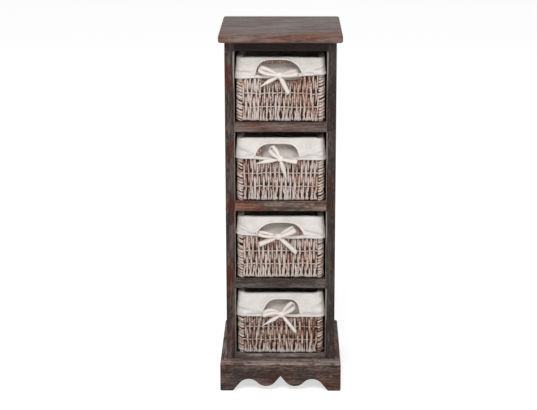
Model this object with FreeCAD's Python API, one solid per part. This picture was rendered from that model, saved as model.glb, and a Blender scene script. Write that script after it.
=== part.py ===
import FreeCAD, Part
import math
import os

from FreeCAD import Vector

# Basket storage unit: a narrow wooden cabinet with open compartments one above the other, each holding a
# lined wicker basket that slides out to the front. Lengths are in millimetres.
# X runs to the right, Y to the back and Z up. The origin is on the floor under the middle of the footprint.
# Levels, shelves and baskets are counted from the top.

# Cabinet as a whole
UNIT_DEPTH = 280.0
BODY_WIDTH = 227.0
FRONT_OVERHANG = 29.0
LEVELS = 4
OPENING_HEIGHT = 148.0

# Top board
TOP_THICKNESS = 16.0
TOP_SIDE_OVERHANG = 11.5
TOP_CORNER_RADIUS = 6.0
TOP_EDGE_RADIUS = 4.0

# Posts and side panels
POST_WIDTH = 19.0
POST_DEPTH = 19.0
ARRIS_RADIUS = 1.2
REBATE_DEPTH = 6.0
PANEL_THICKNESS = 8.0

# Rails, shelves and cleats
RAIL_HEIGHT = 19.0
TOP_RAIL_HEIGHT = 20.0
SHELF_THICKNESS = 9.0
CLEAT_WIDTH = 10.0

# Back planks
BACK_THICKNESS = 8.0
PLANK_COUNT = 6
PLANK_BEVEL = 1.0
TONGUE_LENGTH = 4.0
TONGUE_THICKNESS = 2.6

# Plinth
PLINTH_HEIGHT = 61.0
PLINTH_BOARD_THICKNESS = 12.0
FRONT_APRON_THICKNESS = 20.0
SIDE_APRON_THICKNESS = 13.5
REAR_APRON_THICKNESS = 14.0
APRON_EDGE_RADIUS = 4.0
SCALLOP_LOBE_HEIGHT = 26.3
SCALLOP_DROP_HEIGHT = 10.4
SCALLOP_SLOPE_DEGREES = 50.0
SCALLOP_LOBE_PLACE_SHARE = 0.526
SCALLOP_DROP_PLACE_SHARE = 0.2394
GLUE_BLOCK_WIDTH = 15.0
GLUE_BLOCK_LENGTH = 40.0
GLUE_BLOCK_PLACE_SHARE = 0.5

# Fasteners
DOWEL_DIAMETER = 6.0
DOWEL_LENGTH = 24.0
RAIL_DOWEL_PLACE_SHARE = 0.6
APRON_DOWEL_PLACE_SHARES = (0.3, 0.75)
SCREW_SHANK_DIAMETER = 4.0
SCREW_HEAD_DIAMETER = 7.5
SCREW_HEAD_HEIGHT = 2.2
POST_SCREW_LENGTH = 40.0
TOP_SCREW_HOLD_SHARE = 0.6
TOP_SCREW_PLACE_SHARE = 0.5
PIN_DIAMETER = 1.6
PIN_HOLD_SHARE = 0.7
PIN_PLACE_SHARES = (0.2, 0.8)
NAIL_DIAMETER = 1.8
NAIL_HEAD_DIAMETER = 4.0
NAIL_HEAD_HEIGHT = 0.8
NAIL_HOLD_SHARE = 0.7
OUTER_NAIL_PLACE_SHARE = 0.25
TOP_NAIL_PLACE_SHARE = 0.2

# Wicker boxes and their wire frames
BASKET_SIDE_CLEARANCE = 1.2
BASKET_HEAD_ROOM = 15.0
BASKET_SETBACK = 6.0
BASKET_REAR_CLEARANCE = 6.0
BASKET_FOOT_RADIUS = 3.0
WICKER_WALL = 5.0
WICKER_FLOOR = 5.0
HANDLE_WIDTH = 78.0
HANDLE_HEIGHT = 22.0
HANDLE_DROP = 16.0
HANDLE_TOP_ROUND_SHARE = 0.64
HANDLE_BOTTOM_ROUND_SHARE = 0.18
WIRE_DIAMETER = 3.0
UPRIGHT_DIAMETER = 4.0
UPRIGHT_INSET = 0.5
ROD_HEIGHT_SHARES = (0.245, 0.44, 0.62)

# Cotton liners
LINER_THICKNESS = 1.2
LINING_CORNER_RADIUS = 2.8
CUFF_HEIGHT = 44.0
CUFF_FLARE = 1.0
HEM_TILT_SHARES = (0.10, 0.02, -0.09, -0.02)
LINER_HOLE_MARGIN = 5.0

# Bows of cotton tape: places are shares of the bow's reach from the knot, across and up.
# Each row gives the knot from the middle of the hem, both loops' tips and both tails' ends.
TAPE_WIDTH = 8.0
TAPE_THICKNESS = 1.6
BOW_REACH = 45.0
BOW_LOOP_RADIUS = 7.0
KNOT_WIDTH = 10.0
KNOT_HEIGHT = 11.0
KNOT_RADIUS = 2.5
BOW_PLACE_SHARES = (
    ((-0.03, 0.08), (-0.96, 0.38), (0.89, 0.16), (-0.89, -0.49), (0.42, -0.84)),
    ((0.01, -0.06), (-0.53, 0.62), (0.81, -0.11), (-1.15, -0.13), (0.29, -1.00)),
    ((-0.10, -0.04), (-0.96, 0.26), (0.78, 0.42), (-0.92, -0.42), (0.89, -0.79)),
    ((0.04, -0.05), (-0.84, 0.23), (0.58, 0.50), (-0.89, -0.61), (0.73, -0.96)),
)

# Clearances, and the overrun of all cuts
JOINT_FIT = 0.2
FASTENER_FIT = 0.1
SOFT_GAP = 0.3
OVERRUN = 2.0
SAME_PLACE = 0.01

# Places that follow from the sizes
FRONT = -UNIT_DEPTH / 2
BACK = UNIT_DEPTH / 2
BODY_SIDE = BODY_WIDTH / 2
PLINTH_SIDE = BODY_SIDE + SIDE_APRON_THICKNESS
POST_FRONT = FRONT + FRONT_OVERHANG
POST_BACK = BACK - BACK_THICKNESS
POST_INNER = BODY_SIDE - POST_WIDTH
PANEL_OUTER = POST_INNER + PANEL_THICKNESS
BAY_FRONT = POST_FRONT + POST_DEPTH
BAY_BACK = POST_BACK - POST_DEPTH
SOLID_POST_DEPTH = POST_DEPTH - REBATE_DEPTH
FRONT_PEG_LINE = POST_FRONT + SOLID_POST_DEPTH / 2
BACK_PEG_LINE = POST_BACK - SOLID_POST_DEPTH / 2
LEVEL_PITCH = OPENING_HEIGHT + RAIL_HEIGHT
PLINTH_BOARD_UNDERSIDE = PLINTH_HEIGHT - PLINTH_BOARD_THICKNESS
BOARD_FRONT = FRONT + FRONT_APRON_THICKNESS
TOP_RAIL_UNDERSIDE = PLINTH_HEIGHT + SHELF_THICKNESS + LEVELS * LEVEL_PITCH - RAIL_HEIGHT
TOP_UNDERSIDE = TOP_RAIL_UNDERSIDE + TOP_RAIL_HEIGHT
UNIT_HEIGHT = TOP_UNDERSIDE + TOP_THICKNESS
PLANK_WIDTH = BODY_WIDTH / PLANK_COUNT
TOP_SCREW_LENGTH = TOP_RAIL_HEIGHT + TOP_THICKNESS * TOP_SCREW_HOLD_SHARE
NAIL_LENGTH = BACK_THICKNESS + SOLID_POST_DEPTH * NAIL_HOLD_SHARE
PIN_LENGTH = CLEAT_WIDTH + PANEL_THICKNESS * PIN_HOLD_SHARE

# Places of a basket, measured across and along the depth
CUFF_OFFSET = SOFT_GAP + LINER_THICKNESS
WICKER_SIDE = POST_INNER - BASKET_SIDE_CLEARANCE - CUFF_FLARE - CUFF_OFFSET
WICKER_FRONT = POST_FRONT + BASKET_SETBACK
WICKER_BACK = POST_BACK - BASKET_REAR_CLEARANCE - CUFF_FLARE - CUFF_OFFSET
WICKER_HEIGHT = OPENING_HEIGHT - BASKET_HEAD_ROOM - SOFT_GAP - CUFF_OFFSET
UPRIGHT_OFFSET = WICKER_WALL + JOINT_FIT + UPRIGHT_INSET
LINING_OFFSET = UPRIGHT_OFFSET + UPRIGHT_DIAMETER + SOFT_GAP
BASKET_CORNER_RADIUS = LINING_CORNER_RADIUS + LINER_THICKNESS + LINING_OFFSET
CUFF_FRONT_AT_HEM = WICKER_FRONT - CUFF_OFFSET - CUFF_FLARE


def for_level(rows, level):
    """Row of a table for a level, starting again after the last row."""
    return rows[(level - 1) % len(rows)]


def shelf_top(level):
    """Height of the upper face of a shelf."""
    return PLINTH_HEIGHT + SHELF_THICKNESS + (LEVELS - level) * LEVEL_PITCH


def wicker_base(level):
    """Height of the underside of a basket."""
    return shelf_top(level) + SOFT_GAP


def wicker_rim(level):
    """Height of the upper edge of a basket's wicker."""
    return wicker_base(level) + WICKER_HEIGHT


def liner_top(level):
    """Height of the liner's fold over the rim."""
    return wicker_rim(level) + CUFF_OFFSET


def block(x_range, y_range, z_range):
    """Box between two places along each axis."""
    corner = Vector(x_range[0], y_range[0], z_range[0])
    return Part.makeBox(x_range[1] - x_range[0], y_range[1] - y_range[0], z_range[1] - z_range[0], corner)


def side_range(side, inner, outer):
    """Range across the cabinet on its left (-1) or right (1) side, in rising order."""
    return tuple(sorted((side * inner, side * outer)))


def edges_at(shape, **places):
    """Edges that lie wholly at the given coordinates, such as z=PLINTH_HEIGHT."""
    found = []
    for edge in shape.Edges:
        box = edge.BoundBox
        spans = {"x": (box.XMin, box.XMax), "y": (box.YMin, box.YMax), "z": (box.ZMin, box.ZMax)}
        if all(abs(end - place) < SAME_PLACE for axis, place in places.items() for end in spans[axis]):
            found.append(edge)
    return found


def rounded_outline(x_half, y_range, radius, z):
    """Closed wire: a level rectangle with round corners, centred across."""
    low, high = y_range
    slant = radius * (1 - math.sqrt(0.5))
    edges = []
    corners = ((x_half, high, -1, -1), (-x_half, high, 1, -1), (-x_half, low, 1, 1), (x_half, low, -1, 1))
    ends = []
    for x, y, x_in, y_in in corners:
        beside_x = Vector(x, y + y_in * radius, z)
        beside_y = Vector(x + x_in * radius, y, z)
        first, last = (beside_x, beside_y) if x_in == y_in else (beside_y, beside_x)
        ends.append((first, last))
        edges.append(Part.Arc(first, Vector(x + x_in * slant, y + y_in * slant, z), last).toShape())
    for (_, start), (stop, _) in zip(ends, ends[1:] + ends[:1]):
        edges.append(Part.LineSegment(start, stop).toShape())
    return Part.Wire(Part.__sortEdges__(edges))


def rounded_prism(x_half, y_range, radius, z_range):
    """Upright block with round corners, centred across."""
    face = Part.Face(rounded_outline(x_half, y_range, radius, z_range[0]))
    return face.extrude(Vector(0, 0, z_range[1] - z_range[0]))


def peg(middle, axis, diameter, length):
    """Round bar with its middle at a point."""
    return Part.makeCylinder(diameter / 2, length, middle - axis * (length / 2), axis)


def peg_hole(middle, axis, diameter, length):
    """Room for a round bar, with a fit all round."""
    return peg(middle, axis, diameter + 2 * FASTENER_FIT, length + 2 * FASTENER_FIT)


def turned(radius_heights):
    """Solid of revolution about Z from its outline, given as radius and height from end to end."""
    axis_ends = (0, radius_heights[0][1]), (0, radius_heights[-1][1])
    outline = [axis_ends[0]] + radius_heights + [axis_ends[1], axis_ends[0]]
    face = Part.Face(Part.makePolygon([Vector(radius, 0, height) for radius, height in outline]))
    return face.revolve(Vector(0, 0, 0), Vector(0, 0, 1), 360)


def screw(place, length, fit=0):
    """Countersunk screw driven upwards from a place; with a fit, the hole for it."""
    shank = SCREW_SHANK_DIAMETER / 2 + fit
    head = SCREW_HEAD_DIAMETER / 2 + fit
    outline = [(head, 0), (shank, SCREW_HEAD_HEIGHT), (shank, length + fit)]
    if fit:
        outline.insert(0, (head, -OVERRUN))
    shape = turned(outline)
    shape.translate(place)
    return shape


def nail(place, length, fit=0):
    """Flat-headed nail driven forwards from a place on the back; with a fit, the hole for it."""
    shank = NAIL_DIAMETER / 2 + fit
    head = NAIL_HEAD_DIAMETER / 2 + fit
    start = -OVERRUN if fit else 0
    outline = [(head, start), (head, NAIL_HEAD_HEIGHT)]
    outline += [(shank, NAIL_HEAD_HEIGHT), (shank, length + fit)]
    shape = turned(outline)
    shape.rotate(Vector(0, 0, 0), Vector(1, 0, 0), 90)
    shape.translate(place)
    return shape


def rail_dowels_of(underside, height, line):
    """Middles of the two dowels at the ends of a rail."""
    z = underside + height * RAIL_DOWEL_PLACE_SHARE
    return [Vector(side * POST_INNER, line, z) for side in (-1, 1)]


def front_rail_dowels():
    """Middles of all dowels in the front posts."""
    places = rail_dowels_of(TOP_RAIL_UNDERSIDE, TOP_RAIL_HEIGHT, FRONT_PEG_LINE)
    for level in range(1, LEVELS):
        places += rail_dowels_of(shelf_top(level) - RAIL_HEIGHT, RAIL_HEIGHT, FRONT_PEG_LINE)
    return places


def rear_rail_dowels():
    """Middles of the dowels in the rear posts."""
    return rail_dowels_of(TOP_RAIL_UNDERSIDE, TOP_RAIL_HEIGHT, BACK_PEG_LINE)


def rail_dowel_holes(places):
    """Holes for dowels that lie across the cabinet."""
    return [peg_hole(place, Vector(1, 0, 0), DOWEL_DIAMETER, DOWEL_LENGTH) for place in places]


def apron_dowel_places():
    """Middles of the dowels between the front apron and the side aprons."""
    x = BODY_SIDE + SIDE_APRON_THICKNESS / 2
    heights = [share * PLINTH_HEIGHT for share in APRON_DOWEL_PLACE_SHARES]
    return [Vector(side * x, BOARD_FRONT, z) for side in (-1, 1) for z in heights]


def apron_dowel_holes():
    """Holes for the dowels of the apron corners."""
    return [peg_hole(place, Vector(0, 1, 0), DOWEL_DIAMETER, DOWEL_LENGTH) for place in apron_dowel_places()]


def post_screw_places():
    """Heads of the screws that hold the posts on the plinth board."""
    x = BODY_SIDE - POST_WIDTH / 2
    lines = (FRONT_PEG_LINE, BACK_PEG_LINE)
    return [Vector(side * x, line, PLINTH_BOARD_UNDERSIDE) for side in (-1, 1) for line in lines]


def top_screw_places():
    """Heads of the screws that hold the top board on the two top rails."""
    x = POST_INNER * TOP_SCREW_PLACE_SHARE
    lines = (POST_FRONT + POST_DEPTH / 2, POST_BACK - POST_DEPTH / 2)
    return [Vector(side * x, line, TOP_RAIL_UNDERSIDE) for side in (-1, 1) for line in lines]


def nail_places():
    """Heads of the nails: one row in the top rear rail and one in each shelf, one nail in each plank."""
    outer = BODY_SIDE - POST_WIDTH * OUTER_NAIL_PLACE_SHARE
    inner = [-BODY_SIDE + (2 * index + 1) * PLANK_WIDTH / 2 for index in range(1, PLANK_COUNT - 1)]
    heights = [shelf_top(level) - SHELF_THICKNESS / 2 for level in range(1, LEVELS + 1)]
    heights.append(TOP_RAIL_UNDERSIDE + TOP_RAIL_HEIGHT * TOP_NAIL_PLACE_SHARE)
    return [Vector(x, BACK, z) for x in [-outer] + inner + [outer] for z in heights]


def nail_holes():
    """Holes for all nails of the back."""
    return [nail(place, NAIL_LENGTH, FASTENER_FIT) for place in nail_places()]


def pin_places(level, side):
    """Starts of the pins that hold one cleat on its side panel."""
    z = shelf_top(level) - (SHELF_THICKNESS + RAIL_HEIGHT) / 2
    x = side * (POST_INNER - CLEAT_WIDTH)
    return [Vector(x, BAY_FRONT + share * (BAY_BACK - BAY_FRONT), z) for share in PIN_PLACE_SHARES]


def pin_middle(place, side):
    """Middle of a pin from its start."""
    return place + Vector(side * PIN_LENGTH / 2, 0, 0)


def pin_holes(level, side):
    """Holes for the pins of one cleat."""
    middles = [pin_middle(place, side) for place in pin_places(level, side)]
    return [peg_hole(middle, Vector(1, 0, 0), PIN_DIAMETER, PIN_LENGTH) for middle in middles]


def top_board():
    """Board over the cabinet, with round corners and edges, screwed on from below."""
    half_width = BODY_SIDE + TOP_SIDE_OVERHANG
    board = rounded_prism(half_width, (FRONT, BACK), TOP_CORNER_RADIUS, (TOP_UNDERSIDE, UNIT_HEIGHT))
    rims = edges_at(board, z=TOP_UNDERSIDE) + edges_at(board, z=UNIT_HEIGHT)
    board = board.makeFillet(TOP_EDGE_RADIUS, rims)
    return board.cut([screw(place, TOP_SCREW_LENGTH, FASTENER_FIT) for place in top_screw_places()])


def post(side, rear):
    """Corner post with round arrises and a rebate that takes the side panel flush with its inner face."""
    x_range = side_range(side, POST_INNER, BODY_SIDE)
    y_range = (BAY_BACK, POST_BACK) if rear else (POST_FRONT, BAY_FRONT)
    shape = block(x_range, y_range, (PLINTH_HEIGHT, TOP_UNDERSIDE))
    arrises = [edge for x in x_range for y in y_range for edge in edges_at(shape, x=x, y=y)]
    shape = shape.makeFillet(ARRIS_RADIUS, arrises)
    rebate_width = side_range(side, POST_INNER - OVERRUN, PANEL_OUTER + JOINT_FIT)
    rebate_depth = (BAY_FRONT - REBATE_DEPTH, BAY_FRONT + OVERRUN)
    if rear:
        rebate_depth = (BAY_BACK - OVERRUN, BAY_BACK + REBATE_DEPTH)
    rebate_heights = (PLINTH_HEIGHT - OVERRUN, TOP_UNDERSIDE + OVERRUN)
    cuts = [block(rebate_width, rebate_depth, rebate_heights)]
    cuts += [screw(place, POST_SCREW_LENGTH, FASTENER_FIT) for place in post_screw_places()]
    cuts += rail_dowel_holes(rear_rail_dowels() if rear else front_rail_dowels())
    if rear:
        cuts += nail_holes()
    return shape.cut(cuts)


def side_panel(side):
    """Thin panel in the rebates of the posts on one side."""
    reach = REBATE_DEPTH - JOINT_FIT
    y_range = (BAY_FRONT - reach, BAY_BACK + reach)
    panel = block(side_range(side, POST_INNER, PANEL_OUTER), y_range, (PLINTH_HEIGHT, TOP_UNDERSIDE))
    return panel.cut([hole for level in range(1, LEVELS) for hole in pin_holes(level, side)])


def back_plank(index):
    """Upright plank of the back with bevelled edges, a groove on its left and a tongue on its right."""
    left = -BODY_SIDE + index * PLANK_WIDTH
    right = left + PLANK_WIDTH
    middle = (POST_BACK + BACK) / 2
    tongue = TONGUE_THICKNESS / 2
    groove = tongue + JOINT_FIT
    groove_end = left + TONGUE_LENGTH + JOINT_FIT
    outline = [(left + PLANK_BEVEL, POST_BACK), (right - PLANK_BEVEL, POST_BACK)]
    outline.append((right, POST_BACK + PLANK_BEVEL))
    if index < PLANK_COUNT - 1:
        outline += [(right, middle - tongue), (right + TONGUE_LENGTH, middle - tongue)]
        outline += [(right + TONGUE_LENGTH, middle + tongue), (right, middle + tongue)]
    outline += [(right, BACK - PLANK_BEVEL), (right - PLANK_BEVEL, BACK)]
    outline += [(left + PLANK_BEVEL, BACK), (left, BACK - PLANK_BEVEL)]
    if index > 0:
        outline += [(left, middle + groove), (groove_end, middle + groove)]
        outline += [(groove_end, middle - groove), (left, middle - groove)]
    outline.append((left, POST_BACK + PLANK_BEVEL))
    points = [Vector(x, y, PLINTH_HEIGHT) for x, y in outline]
    face = Part.Face(Part.makePolygon(points + points[:1]))
    plank = face.extrude(Vector(0, 0, TOP_UNDERSIDE - PLINTH_HEIGHT))
    return plank.cut(nail_holes())


def rail(y_range, z_range):
    """Rail between two posts with round long edges."""
    shape = block((-POST_INNER, POST_INNER), y_range, z_range)
    arrises = [edge for y in y_range for z in z_range for edge in edges_at(shape, y=y, z=z)]
    return shape.makeFillet(ARRIS_RADIUS, arrises)


def top_rail(rear):
    """Rail under the top board, in front or at the back."""
    y_range = (BAY_BACK, POST_BACK) if rear else (POST_FRONT, BAY_FRONT)
    shape = rail(y_range, (TOP_RAIL_UNDERSIDE, TOP_UNDERSIDE))
    cuts = rail_dowel_holes(rear_rail_dowels() if rear else front_rail_dowels())
    cuts += [screw(place, TOP_SCREW_LENGTH, FASTENER_FIT) for place in top_screw_places()]
    if rear:
        cuts += nail_holes()
    return shape.cut(cuts)


def shelf_rail(level):
    """Rail in front of a shelf, flush with its upper face."""
    top = shelf_top(level)
    shape = rail((POST_FRONT, BAY_FRONT), (top - RAIL_HEIGHT, top))
    return shape.cut(rail_dowel_holes(front_rail_dowels()))


def bottom_rail():
    """Low strip on the plinth board, as high as the bottom shelf."""
    return rail((POST_FRONT, BAY_FRONT), (PLINTH_HEIGHT, PLINTH_HEIGHT + SHELF_THICKNESS))


def shelf(level):
    """Board behind a rail, between the side panels."""
    top = shelf_top(level)
    half_width = POST_INNER - JOINT_FIT
    board = block((-half_width, half_width), (BAY_FRONT, POST_BACK), (top - SHELF_THICKNESS, top))
    return board.cut(nail_holes())


def cleat(level, side):
    """Strip on a side panel that carries one end of a shelf."""
    top = shelf_top(level) - SHELF_THICKNESS
    bottom = shelf_top(level) - RAIL_HEIGHT
    x_range = side_range(side, POST_INNER - CLEAT_WIDTH, POST_INNER)
    strip = block(x_range, (BAY_FRONT, BAY_BACK), (bottom, top))
    return strip.cut(pin_holes(level, side))


def plinth_board():
    """Board that carries the posts, level with the upper edges of the aprons."""
    board = block((-BODY_SIDE, BODY_SIDE), (BOARD_FRONT, BACK), (PLINTH_BOARD_UNDERSIDE, PLINTH_HEIGHT))
    return board.cut([screw(place, POST_SCREW_LENGTH, FASTENER_FIT) for place in post_screw_places()])


def scallop_half(side):
    """Edges of one half of the scalloped lower edge, from the middle point out to the floor.

    A straight slope runs down from the middle, a round drop hangs below it, and an equal arc turned over
    makes the lobe, which ends in a second straight slope at the foot.
    """
    lobe_x = PLINTH_SIDE * SCALLOP_LOBE_PLACE_SHARE
    drop_x = PLINTH_SIDE * SCALLOP_DROP_PLACE_SHARE
    run, rise = lobe_x - drop_x, SCALLOP_LOBE_HEIGHT - SCALLOP_DROP_HEIGHT
    radius = (run * run + rise * rise) / (4 * rise)
    slope = math.radians(SCALLOP_SLOPE_DEGREES)
    across, down = radius * math.sin(slope), radius * (1 - math.cos(slope))
    inner_x, inner_z = drop_x - across, SCALLOP_DROP_HEIGHT + down
    outer_x, outer_z = lobe_x + across, SCALLOP_LOBE_HEIGHT - down

    def point(x, z):
        return Vector(side * x, FRONT, z)

    middle = point(0, inner_z + inner_x * math.tan(slope))
    drop_start = point(inner_x, inner_z)
    turn = point((lobe_x + drop_x) / 2, (SCALLOP_LOBE_HEIGHT + SCALLOP_DROP_HEIGHT) / 2)
    lobe_end = point(outer_x, outer_z)
    foot = point(outer_x + outer_z / math.tan(slope), 0)
    edges = [
        Part.LineSegment(middle, drop_start).toShape(),
        Part.Arc(drop_start, point(drop_x, SCALLOP_DROP_HEIGHT), turn).toShape(),
        Part.Arc(turn, point(lobe_x, SCALLOP_LOBE_HEIGHT), lobe_end).toShape(),
        Part.LineSegment(lobe_end, foot).toShape(),
        Part.LineSegment(foot, point(PLINTH_SIDE, 0)).toShape(),
        Part.LineSegment(point(PLINTH_SIDE, 0), point(PLINTH_SIDE, PLINTH_HEIGHT)).toShape(),
        Part.LineSegment(point(PLINTH_SIDE, PLINTH_HEIGHT), point(0, PLINTH_HEIGHT)).toShape(),
    ]
    return edges


def front_apron():
    """Front board of the plinth, standing on two feet, with a scalloped lower edge."""
    outline = Part.Wire(Part.__sortEdges__(scallop_half(-1) + scallop_half(1)))
    board = Part.Face(outline).extrude(Vector(0, FRONT_APRON_THICKNESS, 0))
    rounded = edges_at(board, y=FRONT, z=PLINTH_HEIGHT)
    for side in (-1, 1):
        rounded += edges_at(board, x=side * PLINTH_SIDE, y=FRONT)
        rounded += edges_at(board, x=side * PLINTH_SIDE, z=PLINTH_HEIGHT)
    board = board.makeFillet(APRON_EDGE_RADIUS, rounded).removeSplitter()
    return board.cut(apron_dowel_holes())


def side_apron(side):
    """Side board of the plinth, from the front apron to the back."""
    board = block(side_range(side, BODY_SIDE, PLINTH_SIDE), (BOARD_FRONT, BACK), (0, PLINTH_HEIGHT))
    board = board.makeFillet(APRON_EDGE_RADIUS, edges_at(board, x=side * PLINTH_SIDE, z=PLINTH_HEIGHT))
    return board.cut(apron_dowel_holes())


def rear_apron():
    """Rear board of the plinth, between the side aprons and under the plinth board."""
    y_range = (BACK - REAR_APRON_THICKNESS, BACK)
    return block((-BODY_SIDE, BODY_SIDE), y_range, (0, PLINTH_BOARD_UNDERSIDE))


def glue_blocks():
    """Square blocks in the corners between the plinth board and the aprons."""
    z_range = (PLINTH_BOARD_UNDERSIDE - GLUE_BLOCK_WIDTH, PLINTH_BOARD_UNDERSIDE)
    rear_face = BACK - REAR_APRON_THICKNESS
    half_length = GLUE_BLOCK_LENGTH / 2
    blocks = []
    for side in (-1, 1):
        x = side * BODY_SIDE * GLUE_BLOCK_PLACE_SHARE
        x_range = (x - half_length, x + half_length)
        blocks.append(block(x_range, (BOARD_FRONT, BOARD_FRONT + GLUE_BLOCK_WIDTH), z_range))
        blocks.append(block(x_range, (rear_face - GLUE_BLOCK_WIDTH, rear_face), z_range))
        against_side = side_range(side, BODY_SIDE - GLUE_BLOCK_WIDTH, BODY_SIDE)
        blocks.append(block(against_side, (-half_length, half_length), z_range))
    return Part.makeCompound(blocks)


def rail_dowels():
    """All dowels between rails and posts."""
    places = front_rail_dowels() + rear_rail_dowels()
    return Part.makeCompound([peg(place, Vector(1, 0, 0), DOWEL_DIAMETER, DOWEL_LENGTH) for place in places])


def apron_dowels():
    """Dowels in the front corners of the plinth."""
    pegs = [peg(place, Vector(0, 1, 0), DOWEL_DIAMETER, DOWEL_LENGTH) for place in apron_dowel_places()]
    return Part.makeCompound(pegs)


def cleat_pins():
    """Pins of all cleats."""
    pins = []
    for level in range(1, LEVELS):
        for side in (-1, 1):
            middles = [pin_middle(place, side) for place in pin_places(level, side)]
            pins += [peg(middle, Vector(1, 0, 0), PIN_DIAMETER, PIN_LENGTH) for middle in middles]
    return Part.makeCompound(pins)


def grown(offset):
    """Half width and depth range of the wicker's outline, moved outwards by an offset."""
    return WICKER_SIDE + offset, (WICKER_FRONT - offset, WICKER_BACK + offset)


def basket_prism(offset, z_range):
    """Block that follows the wicker's outline at an offset, with matching corners."""
    half_width, y_range = grown(offset)
    return rounded_prism(half_width, y_range, BASKET_CORNER_RADIUS + offset, z_range)


def arched_block(half_width, y_range, z_range, top_radius, bottom_radius):
    """Block through a front wall, with a rounder top than bottom."""
    shape = block((-half_width, half_width), y_range, z_range)
    for z, radius in zip(z_range, (bottom_radius, top_radius)):
        corners = [edge for x in (-half_width, half_width) for edge in edges_at(shape, x=x, z=z)]
        shape = shape.makeFillet(radius, corners)
    return shape


def handle_hole(level, margin, y_range):
    """Handle hole of a basket's front, widened by a margin at the sides and the top."""
    top = wicker_rim(level) - HANDLE_DROP
    z_range = (top - HANDLE_HEIGHT, top + margin)
    top_radius = HANDLE_HEIGHT * HANDLE_TOP_ROUND_SHARE + margin
    bottom_radius = HANDLE_HEIGHT * HANDLE_BOTTOM_ROUND_SHARE
    return arched_block(HANDLE_WIDTH / 2 + margin, y_range, z_range, top_radius, bottom_radius)


def basket_wicker(level):
    """Woven box, open at the top, with a handle hole in its front."""
    base = wicker_base(level)
    rim = wicker_rim(level)
    outside = basket_prism(0, (base, rim))
    outside = outside.makeFillet(BASKET_FOOT_RADIUS, edges_at(outside, z=base))
    inside = basket_prism(-WICKER_WALL, (base + WICKER_FLOOR, rim + OVERRUN))
    through = (WICKER_FRONT - OVERRUN, WICKER_FRONT + WICKER_WALL + OVERRUN)
    return outside.cut([inside, handle_hole(level, 0, through)])


def wire_loop(z):
    """Closed round wire that follows the inside of the wicker."""
    offset = -WICKER_WALL - JOINT_FIT - WIRE_DIAMETER / 2
    half_width, y_range = grown(offset)
    path = rounded_outline(half_width, y_range, BASKET_CORNER_RADIUS + offset, z)
    first = path.Edges[0]
    start, along = first.valueAt(first.FirstParameter), first.tangentAt(first.FirstParameter)
    section = Part.Wire(Part.Circle(start, along, WIRE_DIAMETER / 2).toShape())
    return path.makePipeShell([section], True, False)


def basket_wire_frame(level):
    """Welded frame inside the wicker: a base loop, rod loops, a rim loop and four corner uprights."""
    floor = wicker_base(level) + WICKER_FLOOR + JOINT_FIT
    rim = wicker_rim(level)
    lowest, highest = floor + WIRE_DIAMETER / 2, rim - WIRE_DIAMETER / 2
    heights = [lowest, highest]
    heights += [wicker_base(level) + share * WICKER_HEIGHT for share in ROD_HEIGHT_SHARES]
    pieces = [wire_loop(z) for z in heights]
    arc_centre = WICKER_SIDE - BASKET_CORNER_RADIUS
    upright_reach = BASKET_CORNER_RADIUS - UPRIGHT_OFFSET - UPRIGHT_DIAMETER / 2
    slant = upright_reach * math.sqrt(0.5)
    for x in (-arc_centre - slant, arc_centre + slant):
        for y in (WICKER_FRONT + BASKET_CORNER_RADIUS - slant, WICKER_BACK - BASKET_CORNER_RADIUS + slant):
            pieces.append(Part.makeCylinder(UPRIGHT_DIAMETER / 2, highest - lowest, Vector(x, y, lowest)))
    return pieces[0].multiFuse(pieces[1:])


def flared(offset, z_range):
    """Block that follows the wicker's outline at an offset and widens downwards by the cuff's flare."""
    outlines = []
    for spread, z in ((CUFF_FLARE, z_range[0]), (0, z_range[1])):
        half_width, y_range = grown(offset + spread)
        outlines.append(rounded_outline(half_width, y_range, BASKET_CORNER_RADIUS + offset + spread, z))
    return Part.makeLoft(outlines, True, True)


def hem_cut(level, lowest):
    """Wedge that trims the cuff to a hem that hangs lower on one side than on the other."""
    tilt = CUFF_HEIGHT * for_level(HEM_TILT_SHARES, level)
    hem = liner_top(level) - CUFF_HEIGHT
    reach, y_range = grown(CUFF_OFFSET + CUFF_FLARE + OVERRUN)
    outline = [(-reach, lowest), (reach, lowest), (reach, hem + tilt), (-reach, hem - tilt)]
    points = [Vector(x, y_range[0], z) for x, z in outline]
    face = Part.Face(Part.makePolygon(points + points[:1]))
    return face.extrude(Vector(0, y_range[1] - y_range[0], 0))


def basket_liner(level):
    """Cotton liner: a lining inside, a fold over the rim and a flared cuff with an arched hole in front."""
    rim = wicker_rim(level)
    top = liner_top(level)
    tilt = abs(CUFF_HEIGHT * for_level(HEM_TILT_SHARES, level))
    hem = top - CUFF_HEIGHT - tilt
    cuff = flared(CUFF_OFFSET, (hem, top)).cut(flared(SOFT_GAP, (hem, rim + SOFT_GAP)))
    through = (CUFF_FRONT_AT_HEM - OVERRUN, WICKER_FRONT + WICKER_WALL)
    cuff = cuff.cut([hem_cut(level, hem - OVERRUN), handle_hole(level, LINER_HOLE_MARGIN, through)])
    floor = wicker_base(level) + WICKER_FLOOR + SOFT_GAP
    lining = basket_prism(-LINING_OFFSET, (floor, top))
    hollow = basket_prism(-LINING_OFFSET - LINER_THICKNESS, (floor + LINER_THICKNESS, top + OVERRUN))
    return cuff.fuse(lining).cut(hollow)


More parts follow.
